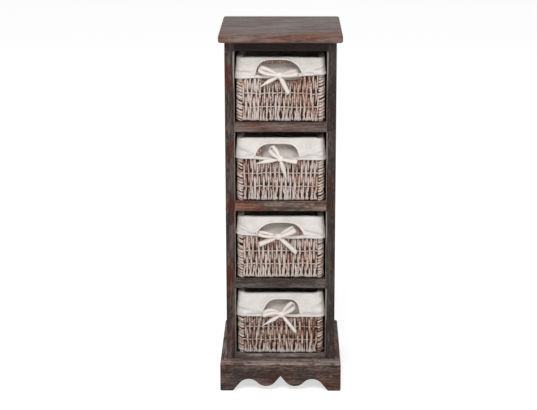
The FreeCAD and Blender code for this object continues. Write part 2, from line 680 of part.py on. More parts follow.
def bow_loop(length):
    """Loop of tape along X from the knot: two straight sides joined by a round end, open in the middle."""
    centre = length - BOW_LOOP_RADIUS
    lean = math.asin(BOW_LOOP_RADIUS / centre)

    def outline(radius):
        apex = Vector(centre - radius / math.sin(lean), 0, 0)
        side_x, side_z = centre - radius * math.sin(lean), radius * math.cos(lean)
        upper, lower = Vector(side_x, 0, side_z), Vector(side_x, 0, -side_z)
        edges = [Part.LineSegment(apex, upper).toShape()]
        edges.append(Part.Arc(upper, Vector(centre + radius, 0, 0), lower).toShape())
        edges.append(Part.LineSegment(lower, apex).toShape())
        return Part.Face(Part.Wire(edges)).extrude(Vector(0, -TAPE_WIDTH, 0))

    return outline(BOW_LOOP_RADIUS).cut(outline(BOW_LOOP_RADIUS - TAPE_THICKNESS))


def bow_tail(length):
    """Flat end of tape along X from the knot, cut off at a slant."""
    half = TAPE_WIDTH / 2
    outline = [(0, -half), (length - half, -half), (length, half), (0, half)]
    points = [Vector(x, 0, z) for x, z in outline]
    face = Part.Face(Part.makePolygon(points + points[:1]))
    return face.extrude(Vector(0, -TAPE_THICKNESS, 0))


def basket_bow(level):
    """Cotton tape tied over the hem: a knot, two loops and two tails."""
    knot_place, *tips = for_level(BOW_PLACE_SHARES, level)
    knot = block((-KNOT_WIDTH / 2, KNOT_WIDTH / 2), (-TAPE_WIDTH, 0), (-KNOT_HEIGHT / 2, KNOT_HEIGHT / 2))
    knot = knot.makeFillet(KNOT_RADIUS, knot.Edges)
    pieces = [knot]
    for make, (across, up) in zip((bow_loop, bow_loop, bow_tail, bow_tail), tips):
        piece = make(BOW_REACH * math.hypot(across, up))
        piece.rotate(Vector(0, 0, 0), Vector(0, -1, 0), math.degrees(math.atan2(up, across)))
        pieces.append(piece)
    bow = pieces[0].multiFuse(pieces[1:])
    z = liner_top(level) - CUFF_HEIGHT + BOW_REACH * knot_place[1]
    bow.translate(Vector(BOW_REACH * knot_place[0], CUFF_FRONT_AT_HEM - SOFT_GAP, z))
    return bow


def cabinet_nodes():
    """All nodes of the cabinet by name."""
    sides = {"left": -1, "right": 1}
    nodes = {"top_board": top_board(), "plinth_board": plinth_board()}
    for name, side in sides.items():
        nodes["front_" + name + "_post"] = post(side, False)
        nodes["rear_" + name + "_post"] = post(side, True)
        nodes[name + "_side_panel"] = side_panel(side)
        nodes[name + "_apron"] = side_apron(side)
    for index in range(PLANK_COUNT):
        nodes["back_plank_%d" % (index + 1)] = back_plank(index)
    nodes["top_front_rail"] = top_rail(False)
    nodes["top_rear_rail"] = top_rail(True)
    nodes["bottom_rail"] = bottom_rail()
    for level in range(1, LEVELS + 1):
        nodes["shelf_%d" % level] = shelf(level)
    for level in range(1, LEVELS):
        nodes["shelf_rail_%d" % level] = shelf_rail(level)
        for name, side in sides.items():
            nodes["%s_cleat_%d" % (name, level)] = cleat(level, side)
    nodes["front_apron"] = front_apron()
    nodes["rear_apron"] = rear_apron()
    nodes["glue_blocks"] = glue_blocks()
    nodes["rail_dowels"] = rail_dowels()
    nodes["apron_dowels"] = apron_dowels()
    nodes["top_screws"] = Part.makeCompound([screw(place, TOP_SCREW_LENGTH) for place in top_screw_places()])
    post_screws = [screw(place, POST_SCREW_LENGTH) for place in post_screw_places()]
    nodes["post_screws"] = Part.makeCompound(post_screws)
    nodes["cleat_pins"] = cleat_pins()
    nodes["back_nails"] = Part.makeCompound([nail(place, NAIL_LENGTH) for place in nail_places()])
    return nodes


def basket_nodes(level):
    """All nodes of one basket by name."""
    name = "basket_%d_" % level
    return {
        name + "wicker": basket_wicker(level),
        name + "wire_frame": basket_wire_frame(level),
        name + "liner": basket_liner(level),
        name + "bow": basket_bow(level),
    }


os.makedirs("parts", exist_ok=True)
unit = cabinet_nodes()
for basket_level in range(1, LEVELS + 1):
    unit.update(basket_nodes(basket_level))
for node, solid in unit.items():
    solid.exportStep(os.path.join("parts", node + ".step"))
print(len(unit), "nodes, height", UNIT_HEIGHT)
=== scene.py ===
"""Dresses a narrow storage unit of weathered wood with four lined wicker baskets.

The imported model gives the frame: metres, +Z up, the front towards -Y, the floor at z = 0.
Boards and fasteners keep their meshes and get finishes, while each basket gets a woven box, a cloth
liner with an arched notch, a rolled edge round the notch and a tape tied in a bow. Surfaces are worked
out in millimetres and turned into metres when their mesh is made.
"""
import logging
import math
from dataclasses import dataclass, field
from enum import Enum
from typing import Dict, List, Optional, Sequence, Tuple, Union

import bmesh
import bpy
import numpy as np
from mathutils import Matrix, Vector


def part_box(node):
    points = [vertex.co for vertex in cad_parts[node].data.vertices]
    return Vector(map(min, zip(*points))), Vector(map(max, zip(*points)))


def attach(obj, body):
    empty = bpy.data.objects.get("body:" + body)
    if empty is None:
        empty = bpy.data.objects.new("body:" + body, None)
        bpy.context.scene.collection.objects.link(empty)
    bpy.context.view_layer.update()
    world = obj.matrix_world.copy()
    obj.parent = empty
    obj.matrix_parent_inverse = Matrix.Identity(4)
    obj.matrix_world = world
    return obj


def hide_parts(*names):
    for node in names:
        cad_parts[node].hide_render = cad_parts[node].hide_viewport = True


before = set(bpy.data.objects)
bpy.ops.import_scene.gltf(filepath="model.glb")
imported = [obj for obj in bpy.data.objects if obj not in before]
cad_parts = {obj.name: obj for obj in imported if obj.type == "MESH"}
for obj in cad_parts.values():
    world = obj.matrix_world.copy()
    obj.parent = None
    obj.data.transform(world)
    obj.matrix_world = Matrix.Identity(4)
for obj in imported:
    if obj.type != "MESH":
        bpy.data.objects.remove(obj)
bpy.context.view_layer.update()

LOG = logging.getLogger("basket_unit")
MM = 0.001
BASKETS = (1, 2, 3, 4)
TAPE_HALF = 5.0
HEM_DROP = 44.0
UPWARD = np.array([0.0, 0.0, 1.0])
FORWARD = np.array([0.0, -1.0, 0.0])
BACKWARD = np.array([0.0, 1.0, 0.0])

RGB = Tuple[float, float, float]
RGBA = Tuple[float, float, float, float]
Place = Tuple[float, float, float]
Stops = Tuple[Tuple[float, RGB], ...]
Feed = Union[float, Tuple[float, ...], "Signal"]


def linear(colour: RGB) -> RGBA:
    """Turns an sRGB colour of 0 to 255 into the linear one that shaders take.

    Args:
        colour: red, green and blue.

    Returns:
        The linear colour with full alpha.
    """
    share = np.asarray(colour, float) / 255
    parts = np.where(share <= 0.04045, share / 12.92, ((share + 0.055) / 1.055) ** 2.4)
    return (*parts.tolist(), 1.0)


def tinted(colour: RGB, *shares: float) -> RGB:
    """Multiplies a colour by one share, or by one for each of its parts, up to full strength."""
    return tuple(np.minimum(np.asarray(colour, float) * shares, 255).tolist())


def smooth(value: np.ndarray, low: float, high: float) -> np.ndarray:
    """Rises from 0 at low to 1 at high along a cubic with level ends."""
    share = np.clip((value - low) / (high - low), 0, 1)
    return share * share * (3 - 2 * share)


def bell(value: np.ndarray, middle: float, width: Union[float, np.ndarray]) -> np.ndarray:
    """Falls from 1 at the middle, as e to the power of minus the square of the way from it in widths."""
    return np.exp(-((value - middle) / width) ** 2)


def powered(value: np.ndarray, power: float) -> np.ndarray:
    """Raises the size of a value to a power and keeps its sign."""
    return np.sign(value) * np.abs(value) ** power


def unit(vectors: np.ndarray) -> np.ndarray:
    """Scales vectors to a length of 1."""
    return vectors / np.maximum(np.linalg.norm(vectors, axis=-1, keepdims=True), 1e-9)


def way_along(path: np.ndarray) -> np.ndarray:
    """Length along a line of points, or along each of several, from 0 at its first point."""
    steps = np.linalg.norm(np.diff(path, axis=0), axis=-1)
    return np.concatenate([np.zeros((1,) + steps.shape[1:]), np.cumsum(steps, 0)])


class Signal:
    """Output of a shader node that takes part in expressions; each operator adds a Math node."""

    def __init__(self, graph: "Graph", socket: bpy.types.NodeSocket) -> None:
        """Keeps the graph that the socket belongs to."""
        self.graph = graph
        self.socket = socket

    def __add__(self, other: Feed) -> "Signal":
        """Sum of two values."""
        return self.graph.math("ADD", self, other)

    def __sub__(self, other: Feed) -> "Signal":
        """This value less another."""
        return self.graph.math("SUBTRACT", self, other)

    def __rsub__(self, other: Feed) -> "Signal":
        """Another value less this one."""
        return self.graph.math("SUBTRACT", other, self)

    def __mul__(self, other: Feed) -> "Signal":
        """Product of two values."""
        return self.graph.math("MULTIPLY", self, other)

    def __pow__(self, other: Feed) -> "Signal":
        """This value raised to a power."""
        return self.graph.math("POWER", self, other)

    __radd__ = __add__
    __rmul__ = __mul__


class Graph:
    """Node tree of one material or world."""

    def __init__(self, owner: Union[bpy.types.Material, bpy.types.World]) -> None:
        """Empties the owner's tree.

        Args:
            owner: the material or world.
        """
        owner.use_nodes = True
        self.owner = owner
        self.tree = owner.node_tree
        self.tree.nodes.clear()

    def node(self, kind: str, settings: Optional[dict] = None, sockets: Optional[dict] = None,
             output: Union[int, str] = 0) -> Optional[Signal]:
        """Adds one node.

        Args:
            kind: type of the node.
            settings: properties, set first; "stops" are a ramp's places and sRGB colours.
            sockets: values or signals by the input's name or number.
            output: name or number of the output that is wanted.

        Returns:
            That output, or None for a node that has none.
        """
        node = self.tree.nodes.new(kind)
        for name, value in (settings or {}).items():
            if name == "stops":
                self.set_stops(node.color_ramp, value)
            else:
                setattr(node, name, value)
        for key, value in (sockets or {}).items():
            if isinstance(value, Signal):
                self.tree.links.new(value.socket, node.inputs[key])
            else:
                node.inputs[key].default_value = value
        return Signal(self, node.outputs[output]) if node.outputs else None

    @staticmethod
    def set_stops(ramp: bpy.types.ColorRamp, stops: Stops) -> None:
        """Gives a colour ramp its places and colours, the first and last on the two that it has.

        Args:
            ramp: a new node's ramp.
            stops: places from 0 to 1 with their sRGB colours, in order.
        """
        ends = (ramp.elements[0], ramp.elements[1])
        for element, (place, colour) in zip(ends, (stops[0], stops[-1])):
            element.position = place
            element.color = linear(colour)
        for place, colour in stops[1:-1]:
            ramp.elements.new(place).color = linear(colour)

    def math(self, operation: str, *values: Feed) -> Signal:
        """Adds a Math node."""
        return self.node("ShaderNodeMath", {"operation": operation}, dict(enumerate(values)))

    def wave(self, value: Signal) -> Signal:
        """Sine of an angle, brought between 0 and 1."""
        return self.math("SINE", value) * 0.5 + 0.5

    def rise(self, value: Signal, low: float, high: float) -> Signal:
        """Rises smoothly from 0 at low to 1 at high."""
        settings = {"interpolation_type": "SMOOTHSTEP"}
        return self.node("ShaderNodeMapRange", settings, {0: value, 1: low, 2: high})

    def mix(self, share: Feed, first: Feed, second: Feed, way: str = "MIX") -> Signal:
        """Mixes two colours, from the first at a share of 0 to the second at 1."""
        settings = {"data_type": "RGBA", "blend_type": way}
        return self.node("ShaderNodeMix", settings, {0: share, 6: first, 7: second}, 2)

    def vector(self, *parts: Feed) -> Signal:
        """Joins three values into a vector."""
        return self.node("ShaderNodeCombineXYZ", {}, dict(enumerate(parts)))

    def parts(self, vector: Signal) -> List[Signal]:
        """Splits a vector into its three values."""
        split = self.node("ShaderNodeSeparateXYZ", {}, {0: vector})
        return [Signal(self, socket) for socket in split.socket.node.outputs]

    def noise(self, place: Signal, scale: Place, detail: float = 2.0, seed: float = 0.0,
              rough: float = 0.55) -> Signal:
        """Smooth noise of about 0.5, stretched.

        Args:
            place: coordinates in metres.
            scale: blobs per metre along each axis.
            detail: finer layers.
            seed: shifts the pattern, so that like pieces differ.
            rough: strength of the finer layers.

        Returns:
            The noise.
        """
        shift = (seed * 3.7, seed * 5.3, seed * 7.1)
        moved = self.node("ShaderNodeMapping", {}, {"Vector": place, "Scale": scale, "Location": shift})
        sockets = {"Vector": moved, "Scale": 1.0, "Detail": detail, "Roughness": rough}
        return self.node("ShaderNodeTexNoise", {}, sockets)

    def place(self) -> Signal:
        """Object coordinates, which are the frame's own."""
        return self.node("ShaderNodeTexCoord", {}, {}, "Object")

    def attribute(self, name: str) -> Signal:
        """Value that a piece keeps on its points."""
        return self.node("ShaderNodeAttribute", {"attribute_name": name}, {}, "Fac")

    def bump(self, height: Signal, distance: float, strength: float,
             under: Optional[Signal] = None) -> Signal:
        """Normal that follows a height.

        Args:
            height: relief from 0 to 1.
            distance: what a height of 1 stands for, in metres.
            strength: share of the relief that shows.
            under: another bump's normal, which this one is laid on.

        Returns:
            The normal.
        """
        sockets = {"Strength": strength, "Distance": distance, "Height": height}
        if under:
            sockets["Normal"] = under
        return self.node("ShaderNodeBump", {}, sockets)

    def surface(self, sockets: Dict[str, Feed]) -> bpy.types.Material:
        """Ends the tree in a principled shader.

        Args:
            sockets: the shader's values or signals by name.

        Returns:
            The material.
        """
        shader = self.node("ShaderNodeBsdfPrincipled", {}, sockets)
        self.node("ShaderNodeOutputMaterial", {}, {"Surface": shader})
        return self.owner


def new_graph(name: str) -> Graph:
    """Starts a material of the name given."""
    return Graph(bpy.data.materials.new(name))


DARK_STAIN = linear((30, 23, 21))
RED_GLAZE = linear((190, 112, 78))
BARE_LIGHT = linear((226, 219, 210))
BARE_DARK = linear((196, 187, 177))
# painted highlight: colour of the light that falls on the front posts' inner edges
PAINTED_LIGHT_EDGE = linear((176, 168, 161))
FULL_WHITE = linear((255, 255, 255))


class Grain(Enum):
    """Direction of a board's fibres, as the order of axes that puts it last."""

    ALONG_X = (1, 2, 0)
    ALONG_Y = (2, 0, 1)
    ALONG_Z = (0, 1, 2)


@dataclass(frozen=True)
class WeatheredWood:
    """Brown-stained softwood, brushed, washed with grey and worn at its edges.

    The body is the ground colour, and front, crown and edge are those of the front face, the upper face
    and the worn edges; the crown is a paler colour that also paints the light falling from above on the
    upper face. Wash, red and worn are shares of the grey veil, the red glaze and the wear. Lengths are in
    metres: pale_within is how far from the middle the wood is bare, and the lit spans are the heights over
    which light falling into the openings is painted on a post's inner edge.
    """

    body: RGB
    grain: Grain
    seed: int
    wash: float = 0.45
    red: float = 0.35
    edge: RGB = (44, 36, 33)
    worn: float = 0.45
    front: Optional[RGB] = None
    crown: Optional[RGB] = None
    front_reach: float = 0.014
    contrast: float = 1.0
    pale_within: float = 0.0
    lit_spans: Tuple[Tuple[float, float], ...] = ()
    knot: Optional[float] = None
    ring_pitch: float = 0.0055
    pith_depth: float = 0.045
    mean_light: float = 0.505
    light_half: float = 0.08

    def edge_distance(self, graph: Graph, axes: List[Signal], node: str) -> Signal:
        """Distance to the nearest edge of the board's box: the middle one of the three distances to it.

        Args:
            graph: the material's graph.
            axes: the place along x, y and z.
            node: the board.

        Returns:
            The distance in metres.
        """
        low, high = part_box(node)
        near = [graph.math("MINIMUM", axis - low[i], high[i] - axis) for i, axis in enumerate(axes)]
        least = graph.math("MINIMUM", near[0], near[1])
        most = graph.math("MAXIMUM", near[0], near[1])
        return graph.math("MAXIMUM", least, graph.math("MINIMUM", most, near[2]))

    def rings(self, graph: Graph, axes: List[Signal], warp: Signal, node: str) -> Signal:
        """Late wood: rings about a leaning pith line behind the board, drawn as narrow sine crests.

        Args:
            graph: the material's graph.
            axes: the place along x, y and z.
            warp: slow noise that bends the rings.
            node: the board.

        Returns:
            1 on the crests, falling to 0.
        """
        low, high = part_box(node)
        order = self.grain.value
        across, depth, along = (axes[i] for i in order)
        middle = [(low[axis] + high[axis]) / 2 for axis in order]
        lean = 0.05 * math.sin(self.seed * 2.4)
        side = across - (middle[0] + 0.02 * math.cos(self.seed * 1.7))
        back = depth - (middle[1] + self.pith_depth)
        reach = graph.math("SQRT", side * side + back * back) + along * lean + (warp - 0.5) * 0.02
        if self.knot:
            gap = (along - self.knot) * 0.6
            reach = reach + graph.math("EXPONENT", (side * side + gap * gap) * -9000.0) * 0.02
        return graph.wave(reach * (2 * math.pi / self.ring_pitch)) ** 3.0

    def faces(self, graph: Graph, axes: List[Signal], low: Vector, high: Vector) -> Feed:
        """Ground colour of the board, with another on its front or its upper face where it has one.

        Args:
            graph: the material's graph.
            axes: the place along x, y and z.
            low: lowest corner of the board.
            high: highest corner.

        Returns:
            The colour.
        """
        colour: Feed = linear(self.body)
        if self.front:
            away = graph.rise(axes[1], low[1] + 0.005, low[1] + self.front_reach)
            colour = graph.mix(away, linear(self.front), colour)
        # painted light: the upper face is lighter for the light falling from above, on a paler colour of its
        # own
        if self.crown:
            raised = graph.rise(axes[2], high[2] - 0.005, high[2] - 0.0015)
            colour = graph.mix(raised, colour, linear(self.crown))
        return colour

    def lit_inner_edge(self, graph: Graph, axes: List[Signal], colour: Signal, patch: Signal,
                  node: str) -> Signal:
        """Paints a highlight on the post's inner edge, unevenly, over the spans of height given, for the
        light that falls into each opening.

        Args:
            graph: the material's graph.
            axes: the place along x, y and z.
            colour: the wood so far.
            patch: noise that breaks the strip's border.
            node: the post.

        Returns:
            The colour with the painted highlight strip.
        """
        inner = min(abs(corner[0]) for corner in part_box(node))
        border = graph.math("ABSOLUTE", axes[0]) + (patch - 0.5) * 0.006
        strip = 1.0 - graph.rise(border, inner + 0.0008, inner + 0.0026)
        spans = [graph.rise(axes[2], start, start + 0.035) * (1.0 - graph.rise(axes[2], end - 0.004, end))
                 for start, end in self.lit_spans]
        return graph.mix(strip * sum(spans[1:], spans[0]) * 0.7, colour, PAINTED_LIGHT_EDGE)

    def material(self, node: str) -> bpy.types.Material:
        """Builds the board's own material.

        Args:
            node: the board, whose box places its rings and worn edges.

        Returns:
            The material.
        """
        graph = new_graph(f"weathered_wood_{node}")
        axes = graph.parts(graph.place())
        fibres = graph.vector(*(axes[i] for i in self.grain.value))
        seed = float(self.seed)
        warp = graph.noise(fibres, (14, 14, 2.2), 2, seed)
        late = self.rings(graph, axes, warp, node)
        fine = graph.noise(fibres, (800, 800, 55), 4, seed, 0.7)
        streak = graph.noise(fibres, (120, 120, 9), 4, seed + 1, 0.62)
        patch = graph.noise(fibres, (52, 52, 17), 3, seed + 2)
        stain = graph.noise(fibres, (30, 30, 11), 3, seed + 4)
        pore = graph.rise(graph.noise(fibres, (620, 620, 40), 2, seed + 3), 0.58, 0.70)
        fleck = graph.noise(fibres, (460, 460, 105), 3, seed + 5, 0.6)
        body = self.faces(graph, axes, *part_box(node))
        half = self.light_half / self.contrast
        light = graph.rise(streak * 0.32 + fleck * 0.40 + patch * 0.28,
                           self.mean_light - half, self.mean_light + half)
        stained = graph.mix(0.62, body, DARK_STAIN)
        colour = graph.mix(light, stained, graph.mix(1.0, body, FULL_WHITE, "SOFT_LIGHT"))
        red = graph.rise(stain, 0.50, 0.63) * self.red
        colour = graph.mix(red, colour, graph.mix(1.0, body, RED_GLAZE, "OVERLAY"))
        veil = graph.rise(fine * 0.35 + (1.0 - stain) * 0.35 + streak * 0.3, 0.46, 0.58) * self.wash
        grey = float(np.mean(self.body)) * 1.2
        colour = graph.mix(veil, colour, linear((grey * 1.03, grey * 0.99, grey * 0.96)))
        colour = graph.mix(late * 0.4, colour, linear(tinted(self.body, 0.45)))
        colour = graph.mix(pore * 0.6, colour, linear(tinted(self.body, 0.32)))
        rim = self.edge_distance(graph, axes, node) + (patch - 0.5) * 0.02
        worn = (1.0 - graph.rise(rim, 0.0006, 0.0042)) * self.worn
        colour = graph.mix(worn, colour, linear(self.edge))
        if self.pale_within:
            aside = graph.math("ABSOLUTE", axes[0])
            stain_side = graph.rise(aside, self.pale_within, self.pale_within + 0.0004)
            colour = graph.mix(stain_side, graph.mix(streak, BARE_LIGHT, BARE_DARK), colour)
        # painted light: the light that falls into each opening, painted on the front posts' inner edges
        if self.lit_spans:
            colour = self.lit_inner_edge(graph, axes, colour, patch, node)
        height = fine * 0.5 + late * 0.6 - pore * 0.9
        return graph.surface({"Base Color": colour, "Roughness": 0.8 - fine * 0.2,
                              "Normal": graph.bump(height, 0.0004, 0.8), "Specular IOR Level": 0.2})


@dataclass(frozen=True)
class BareWood:
    """Pale unstained softwood of blocks, cleats and dowels."""

    grain: Grain
    seed: int
    straw: RGB = (196, 166, 126)
    streaked: RGB = (166, 130, 92)
    pores: RGB = (120, 86, 58)

    def material(self, node: str) -> bpy.types.Material:
        """Builds the material: fibres, streaks and a few darker pores on a straw colour.

        Args:
            node: the piece that it is for.

        Returns:
            The material.
        """
        graph = new_graph(f"bare_wood_{node}")
        axes = graph.parts(graph.place())
        fibres = graph.vector(*(axes[i] for i in self.grain.value))
        fine = graph.noise(fibres, (800, 800, 30), 3, float(self.seed))
        streak = graph.noise(fibres, (120, 120, 6), 2, self.seed + 1.0)
        colour = graph.mix(graph.rise(streak, 0.35, 0.65), linear(self.straw), linear(self.streaked))
        colour = graph.mix(graph.rise(fine, 0.56, 0.72) * 0.5, colour, linear(self.pores))
        return graph.surface({"Base Color": colour, "Roughness": 0.7 - fine * 0.15,
                              "Normal": graph.bump(fine, 0.0002, 0.6)})


@dataclass(frozen=True)
class Steel:
    """Zinc-plated steel of screws, pins and nails."""

    bright: RGB = (176, 174, 170)
    dull: RGB = (126, 120, 112)

    def material(self) -> bpy.types.Material:
        """Builds the material.

        Returns:
            A grey metal with dull spots.
        """
        graph = new_graph("plated_steel")
        spots = graph.noise(graph.place(), (900, 900, 900), 3)
        colour = graph.mix(graph.rise(spots, 0.45, 0.7), linear(self.bright), linear(self.dull))
        return graph.surface({"Base Color": colour, "Metallic": 1.0, "Roughness": 0.3 + spots * 0.3})


@dataclass(frozen=True)
class WrappedWire:
    """Wire of the baskets' frames, covered with twisted paper."""

    paper: RGB = (148, 122, 104)
    worn: RGB = (98, 76, 62)
    groove: RGB = (70, 54, 44)
    turn_rate: float = 4200.0

    def material(self) -> bpy.types.Material:
        """Builds the material.

        Returns:
            Fine slanting turns of tan paper with worn spots.
        """
        graph = new_graph("wrapped_wire")
        x, y, z = graph.parts(graph.place())
        turns = graph.wave((x + y + z * 0.8) * self.turn_rate)
        spots = graph.noise(graph.place(), (240, 240, 240), 3)
        colour = graph.mix(graph.rise(spots, 0.4, 0.65), linear(self.paper), linear(self.worn))
        colour = graph.mix(turns * 0.3, colour, linear(self.groove))
        return graph.surface({"Base Color": colour, "Roughness": 0.62 + spots * 0.2,
                              "Normal": graph.bump(turns, 0.0003, 0.6)})


@dataclass(frozen=True)
class WickerFibre:
    """Twisted plant fibre, whitewashed; the piece's tone values give each strand its tone and its painted
    light, and its hollow values paint its shade.

    The stops give the fibre's colour from dark to light, white is the share of whitewash, warmth that of
    brown regions, brown_side how much more of them there is to the right, and tips that of white on the
    ends and on the crests that are painted lighter in front of the rods.
    """

    number: int
    stops: Stops
    white: float = 0.5
    warmth: float = 0.5
    brown_side: float = 0.0
    tips: float = 0.35
    brown: RGB = (206, 156, 130)
    chalk: RGB = (228, 215, 208)
    tip_white: RGB = (240, 233, 230)
    groove: RGB = (104, 80, 68)
    gap: RGB = (48, 31, 25)

    def material(self) -> bpy.types.Material:
        """Builds the material.

        Returns:
            A material whose colour goes by strand, is painted darker for the shade in the hollows and
            grooves, and is chalky where worn.
        """
        graph = new_graph(f"wicker_fibre_{self.number}")
        place = graph.place()
        x, y, z = graph.parts(place)
        tone = graph.attribute("tone")
        hollow = graph.attribute("hollow")
        seed = float(self.number)
        fibre = graph.noise(place, (1100, 1100, 90), 3, seed, 0.65)
        blotch = graph.noise(place, (120, 120, 45), 2, seed + 1)
        twist = graph.wave((x + y) * 2300.0 + z * 1100.0 + blotch * 7.0)
        fleck = graph.noise(place, (300, 300, 340), 2, seed + 2)
        region = graph.noise(place, (26, 26, 20), 2, seed + 3) + x * self.brown_side
        shade = tone + (fibre - 0.5) * 0.45 + (blotch - 0.5) * 0.4 + (fleck - 0.5) * 2.1
        colour = graph.node("ShaderNodeValToRGB", {"stops": self.stops}, {0: shade})
        pale = graph.rise(tone, 0.78, 1.05)
        warm = graph.rise(region, 0.42, 0.64) * self.warmth * (1.0 - pale * 0.8)
        colour = graph.mix(warm, colour, graph.mix(1.0, colour, linear(self.brown), "MULTIPLY"))
        dusty = fibre * 0.35 + blotch * 0.35 + (1.0 - region) * 0.3 + pale * 0.1
        chalk = graph.rise(dusty, 0.44, 0.60) * self.white
        colour = graph.mix(chalk * (1.0 - hollow), colour, linear(self.chalk))
        # white where the tone is highest: the strands' feet and the crests painted lighter in front of rods
        colour = graph.mix(graph.rise(tone, 0.95, 1.25) * self.tips, colour, linear(self.tip_white))
        # painted shade in the grooves of the twist
        colour = graph.mix((1.0 - twist) * 0.4, colour, linear(self.groove))
        # painted shade in the hollows between and behind the strands
        colour = graph.mix(hollow * 0.96, colour, linear(self.gap))
        height = fibre * 0.6 + twist * 0.6
        return graph.surface({"Base Color": colour, "Roughness": 0.72 + fibre * 0.18,
                              "Normal": graph.bump(height, 0.0004, 0.8), "Specular IOR Level": 0.3})


@dataclass(frozen=True)
class PlainCotton:
    """Plain-woven unbleached cotton; the weave follows the piece's own UV map in metres.

    Thread is the spacing of the threads and crease the depth of the creases. Where fold is given, the cloth
    is painted darker towards that distance from its middle line, a painted shade on the tape's curled
    edges, and where inside is, beyond that way along it, painted darker and warmer for the shade and the
    warm light from the wood inside the basket.
    """

    name: str
    light: RGB
    shade: RGB
    thread: float = 0.00075
    crease: float = 0.0022
    fold: float = 0.0
    inside: float = 0.0
    # colour of the painted shade and warm reflected light inside the basket
    lining: RGB = (222, 210, 200)
    fold_shade: RGB = (186, 166, 156)

    def material(self) -> bpy.types.Material:
        """Builds the material.

        Returns:
            A material with crossing threads, slubs along both directions and soft creases.
        """
        graph = new_graph(self.name)
        uv = graph.node("ShaderNodeTexCoord", {}, {}, "UV")
        across, along, _ = graph.parts(uv)
        turn = 2 * math.pi / self.thread
        warp = graph.math("SINE", across * turn) * 0.5
        weft = graph.math("SINE", along * turn) * 0.5
        slub = graph.noise(uv, (70, 1500, 1), 3) * 0.5 + graph.noise(uv, (1500, 70, 1), 3, 1.0) * 0.5
        cloud = graph.noise(graph.place(), (34, 34, 34), 3, 2.0)
        colour = graph.mix(graph.rise(slub * 0.6 + cloud * 0.4, 0.36, 0.64),
                           linear(self.light), linear(self.shade))
        # painted shade and warm reflected light on the cloth inside the basket
        if self.inside:
            within = graph.rise(along, self.inside, self.inside + 0.012)
            colour = graph.mix(within * 0.6, colour, linear(self.lining))
        # painted shade on the tape's curled edges
        if self.fold:
            edge = graph.rise(graph.math("ABSOLUTE", across), self.fold * 0.3, self.fold)
            colour = graph.mix(edge * 0.7, colour, linear(self.fold_shade))
        threads = graph.bump(warp * weft * 0.8 + slub, 0.00012, 0.5)
        creases = graph.noise(graph.place(), (46, 46, 30), 3, 5.0, 0.5)
        return graph.surface({"Base Color": colour, "Roughness": 0.86 + slub * 0.1,
                              "Normal": graph.bump(creases, self.crease, 0.8, threads),
                              "Specular IOR Level": 0.2, "Sheen Weight": 0.15, "Sheen Roughness": 0.5})


def placed(name: str, data: bpy.types.ID) -> bpy.types.Object:
    """Makes an object of the data given and links it to the scene.

    Args:
        name: the object's name.
        data: its mesh, light or camera.

    Returns:
        The object, at the origin.
    """
    made = bpy.data.objects.new(name, data)
    bpy.context.scene.collection.objects.link(made)
    return made


def dress(node: str, material: bpy.types.Material) -> None:
    """Puts a material into every slot of a node of the frame.

    Args:
        node: the node's name.
        material: its finish.
    """
    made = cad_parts[node]
    if not made.material_slots:
        made.data.materials.append(material)
    for slot in made.material_slots:
        slot.material = material
    LOG.info("%s: dressed in %s", node, material.name)


def grid_faces(rows: int, columns: int, closed: bool = False) -> np.ndarray:
    """Quads of a grid of points that are numbered row by row.

    Args:
        rows: points up the grid.
        columns: points along it.
        closed: whether the last column joins the first.

    Returns:
        Four point numbers for each quad, facing the side on which columns cross rows outwards.
    """
    row = np.arange(rows - 1)[:, None]
    column = np.arange(columns if closed else columns - 1)[None, :]
    after = (column + 1) % columns
    corners = (row * columns + column, row * columns + after,
               (row + 1) * columns + after, (row + 1) * columns + column)
    return np.stack(np.broadcast_arrays(*corners), -1).reshape(-1, 4)


class Surface:
    """Gathers sheets and tubes into one mesh, with values on its points."""

    def __init__(self) -> None:
        """Starts with no points."""
        self.points: List[np.ndarray] = []
        self.faces: List[list] = []
        self.values: Dict[str, List[np.ndarray]] = {}
        self.count = 0

    def add(self, points: np.ndarray, faces: Sequence[np.ndarray],
            **values: Union[float, np.ndarray]) -> None:
        """Adds a sheet or tubes.

        Args:
            points: places in millimetres, with x, y and z last.
            faces: blocks of point numbers, the faces of one block alike.
            values: what the points keep, spread over them by name; uv has two parts, also in millimetres.
        """
        self.points.append(points.reshape(-1, 3))
        self.faces += [row for block in faces for row in (block + self.count).tolist()]
        for name, value in values.items():
            parts = (2,) if name == "uv" else ()
            spread = np.broadcast_to(value, points.shape[:-1] + parts)
            self.values.setdefault(name, []).append(spread.reshape((-1,) + parts))
        self.count += len(self.points[-1])

    def piece(self, name: str, material: bpy.types.Material, merge: float = 0.0) -> bpy.types.Object:
        """Makes the object.

        Args:
            name: the piece's name.
            material: its finish.
            merge: distance in millimetres within which points are joined, or 0 for none.

        Returns:
            The object, at the origin, with its place in its mesh.
        """
        mesh = bpy.data.meshes.new(name)
        mesh.from_pydata((np.concatenate(self.points) * MM).tolist(), [], self.faces)
        for key, parts in self.values.items():
            value = np.concatenate(parts)
            if key == "uv":
                corner = np.empty(len(mesh.loops), np.int32)
                mesh.loops.foreach_get("vertex_index", corner)
                mesh.uv_layers.new(name="cloth").data.foreach_set("uv", (value[corner] * MM).ravel())
            else:
                layer = mesh.attributes.new(key, "FLOAT", "POINT")
                layer.data.foreach_set("value", value.astype(np.float32))
        if merge:
            editor = bmesh.new()
            editor.from_mesh(mesh)
            bmesh.ops.remove_doubles(editor, verts=editor.verts, dist=merge * MM)
            editor.to_mesh(mesh)
            editor.free()
        mesh.shade_smooth()
        mesh.update()
        mesh.materials.append(material)
        LOG.info("%s: %d faces", name, len(mesh.polygons))
        return placed(name, mesh)


